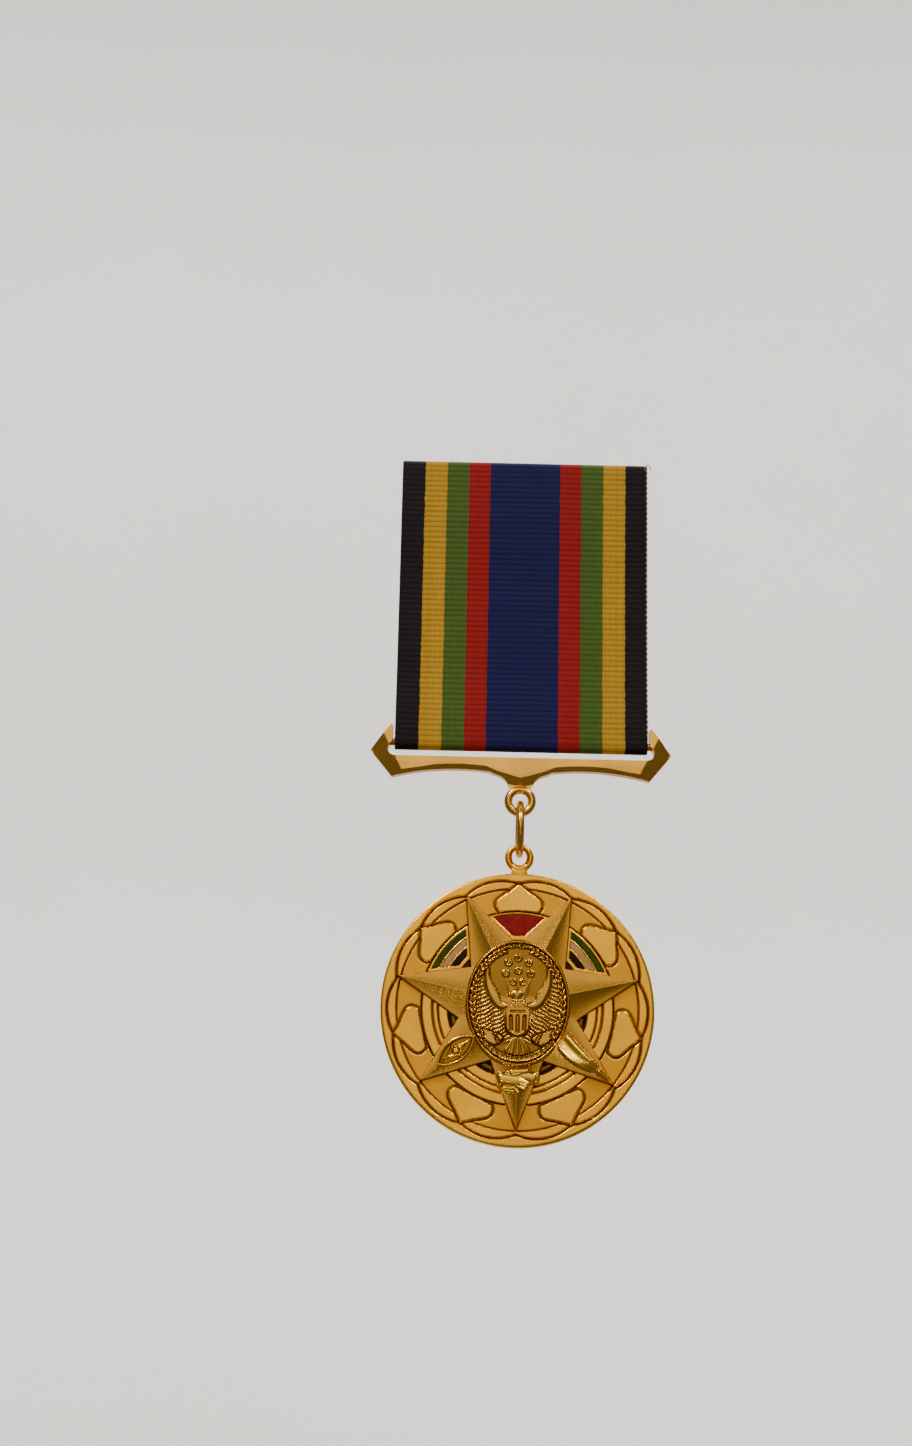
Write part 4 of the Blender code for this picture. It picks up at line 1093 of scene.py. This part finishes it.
def rounded(width, height, radius, steps=6):
    """A rectangle with round corners."""
    x, y = width / 2 - radius, height / 2 - radius
    loop = []
    for cx, cy, start in ((x, y, 0), (-x, y, 90), (-x, -y, 180), (x, -y, 270)):
        turns = [radians(start + 90 * i / steps) for i in range(steps + 1)]
        loop += [(cx + radius * cos(t), cy + radius * sin(t)) for t in turns]
    return loop


def brooch_part(name, node, mesh, sharp=38):
    piece(name, *mesh, BRASS, "brooch", "brooch_brass", [node], sharp)


def on_hinge(u, v, h):
    """Points round the pin's hinge, h up its axis."""
    return along_z(u + HINGE_X, v + PIN_Y, h)


def clip_outline():
    """The open spring clip from its side, in y and z."""
    upper = smooth_path([(2.55, 0.0), (2.55, 0.85), (2.65, 1.12), (2.8, 1.2), (3.6, 1.22), (4.3, 1.2),
                         (4.85, 0.95), (5.3, 1.2)], 4)
    strip = np.array([(y, -z) for y, z in upper[:0:-1]] + [tuple(p) for p in upper])
    run = np.gradient(strip, axis=0)
    run /= np.linalg.norm(run, axis=1)[:, None]
    half = 0.24 * np.stack([-run[:, 1], run[:, 0]], 1)
    return anticlockwise(np.concatenate([strip + half, (strip - half)[::-1]]))


def brooch():
    brooch_part("plate", "brooch_plate", slab(rounded(36, 8, 0.8), -0.4, 0.4, 0.12, back))
    lip = [(0.12, 1.45), (0.0, 1.57), (0.0, 2.13), (0.12, 2.25), (0.55, 2.25), (0.7, 2.17),
           (1.4, 2.17)]
    brooch_part("back_plate", "pin_plate", stack(rounded(33, 6.4, 1.6), lip, back), 25)
    rivet = [(0.6, -0.3), (0.6, 2.12), (1.15, 2.14), (1.15, 2.4), (1.05, 2.72), (0.8, 2.98),
             (0.45, 3.12), (0.12, 3.15)]
    for side, x in (("left", -RIVET_X), ("right", RIVET_X)):
        made = turned(rivet, 40, lambda u, v, h, x=x: back(u + x, v, h))
        brooch_part("rivet_" + side, "brooch_rivet_" + side, made, 50)
    base = slab(rounded(3.0, 4.2, 0.3), 2.1, 3.0, 0.12, lambda u, v, h: back(u + HINGE_X, v, h))
    cheek = [(-14.35, 2.7), (-11.65, 2.7), (-11.8, PIN_Y)]
    cheek += [(HINGE_X + 1.2 * cos(radians(a)), PIN_Y + 1.2 * sin(radians(a)))
              for a in range(15, 180, 15)]
    cheek += [(-14.2, PIN_Y)]
    ears = [slab(cheek, low, high, 0.12, along_z) for low, high in ((-2.1, -1.3), (1.3, 2.1))]
    brooch_part("hinge", "pin_hinge_block", shells(base, *ears), 40)
    head = [(0.2, -2.55), (0.55, -2.52), (0.72, -2.38), (0.73, -2.12), (0.38, -2.1)]
    axle = turned(both_ends(head), 32, on_hinge)
    brooch_part("hinge_rivet", "pin_hinge_rivet", axle, 50)
    clip = slab(clip_outline(), 10.5, 12.7, 0.07, along_x)
    brooch_part("catch", "pin_catch", clip, 40)
    wire = [(0.3, -13.2), (0.5, -12.9), (0.5, 11.2), (0.47, 11.9), (0.4, 12.9), (0.3, 13.8),
            (0.18, 14.6), (0.06, 15.1), (0.01, 15.2)]
    wire = turned(wire, 28, lambda u, v, h: along_x(u + PIN_Y, v, h))
    barrel = both_ends([(0.5, -1.0), (0.85, -0.98), (1.0, -0.82), (1.0, -0.3), (0.94, -0.22)])
    barrel = turned(barrel, 36, on_hinge)
    piece("pin", *shells(wire, barrel), STEEL, "pin", "pin_steel", ["brooch_pin"], sharp=40)


brooch()

# Floor, light and camera


def stage():
    """A pale floor that curves up into a backdrop; sizes in m."""
    floor, start, bend = -0.18, 0.45, 0.35
    profile = [(-1.3, floor), (start, floor)]
    profile += [(start + bend * sin(radians(a)), floor + bend * (1 - cos(radians(a))))
                for a in range(6, 91, 6)]
    profile += [(start + bend, 1.4)]
    points = [(x, y, z) for x in (-4.0, 4.0) for y, z in profile]
    count = len(profile)
    faces = [(i, i + 1, count + i + 1, count + i) for i in range(count - 1)]
    mesh = bpy.data.meshes.new("backdrop")
    mesh.from_pydata(points, [], faces)
    mesh.shade_smooth()
    mesh.materials.append(plain_ground("backdrop", (0.62, 0.6, 0.57, 1)))
    sheet = placed("backdrop", mesh)
    sheet.visible_glossy = False


def lamp(name, place, aim, size, power, tone, spread):
    """A rectangular lamp in W, with a spread in degrees, that shines from place to aim."""
    data = bpy.data.lights.new(name, "AREA")
    data.spread = radians(spread)
    data.shape = "RECTANGLE"
    data.size, data.size_y = size
    data.energy = power
    data.color = tone
    made = placed(name, data)
    made.location = place
    made.rotation_euler = (Vector(aim) - Vector(place)).to_track_quat("-Z", "Y").to_euler()
    made.visible_camera = False


def sky():
    """Soft studio surroundings, plain to the camera and brightest before the medal.
    The brightest place is a little above eye level, and the rest is dim."""
    world = bpy.data.worlds.new("studio")
    nodes = Nodes(world)
    place = nodes.add("ShaderNodeTexCoord").outputs["Generated"]
    ahead = (0.0, -cos(radians(16)), sin(radians(16)))
    toward = nodes.add("ShaderNodeVectorMath", {0: place, 1: ahead}, operation="DOT_PRODUCT")
    level = nodes.add("ShaderNodeMapRange", {0: toward.outputs["Value"], 1: -1.0, 2: 1.0})
    ramp = nodes.add("ShaderNodeValToRGB", {0: level.outputs[0]})
    levels = [(0.0, 0.62), (0.1, 0.5), (0.28, 0.22), (0.5, 0.12), (0.75, 0.1), (0.91, 0.11),
              (0.958, 0.22), (0.978, 0.6), (0.989, 1.0)]
    fill_ramp(ramp.color_ramp, [(w, (v, v * 0.985, v * 0.96, 1)) for w, v in levels])
    light = nodes.add("ShaderNodeBackground", {0: ramp.outputs[0], 1: 1.24})
    plain = nodes.add("ShaderNodeBackground", {0: (0.6, 0.59, 0.57, 1)})
    seen = nodes.add("ShaderNodeLightPath").outputs["Is Camera Ray"]
    either = nodes.add("ShaderNodeMixShader", {0: seen, 1: light.outputs[0], 2: plain.outputs[0]})
    nodes.feed(nodes.tree.nodes["World Output"].inputs[0], either.outputs[0])
    bpy.context.scene.world = world


def camera():
    data = bpy.data.cameras.new("camera")
    data.lens = 52.78
    data.sensor_width = 36.0
    data.clip_start = 0.01
    made = placed("camera", data)
    eye = Vector((-9.9, -310.0, -123.05)) * MM
    turn = Matrix.Rotation(radians(90 + 15.4), 4, "X") @ Matrix.Rotation(radians(1.3), 4, "Z")
    made.matrix_world = Matrix.Translation(eye) @ turn
    bpy.context.scene.camera = made


stage()
sky()
WARM_WHITE = (1.0, 0.99, 0.97)
lamp("key", (-0.35, -0.45, 0.5), (0, 0, -0.04), (0.16, 0.16), 0.4, (1.0, 0.97, 0.92), 50)
lamp("fill", (0.4, -0.5, 0.6), (0, 0, -0.05), (0.2, 0.16), 0.27, (1.0, 0.98, 0.96), 50)
lamp("low", (-0.03, -0.26, -0.16), (0, 0, -0.085), (0.03, 0.02), 0.0024, (1.0, 0.98, 0.92), 60)
lamp("front", (0.0, -0.9, 1.0), (0, -0.9, 0.0), (5.0, 0.4), 4.5, WARM_WHITE, 70)
lamp("top", (0.0, 0.35, 1.1), (0, 0.35, 0.0), (5.0, 0.6), 10.0, WARM_WHITE, 100)
lamp("wall", (0.0, 0.1, 0.75), (0, 0.8, 0.1), (5.0, 0.3), 34.0, WARM_WHITE, 120)
camera()
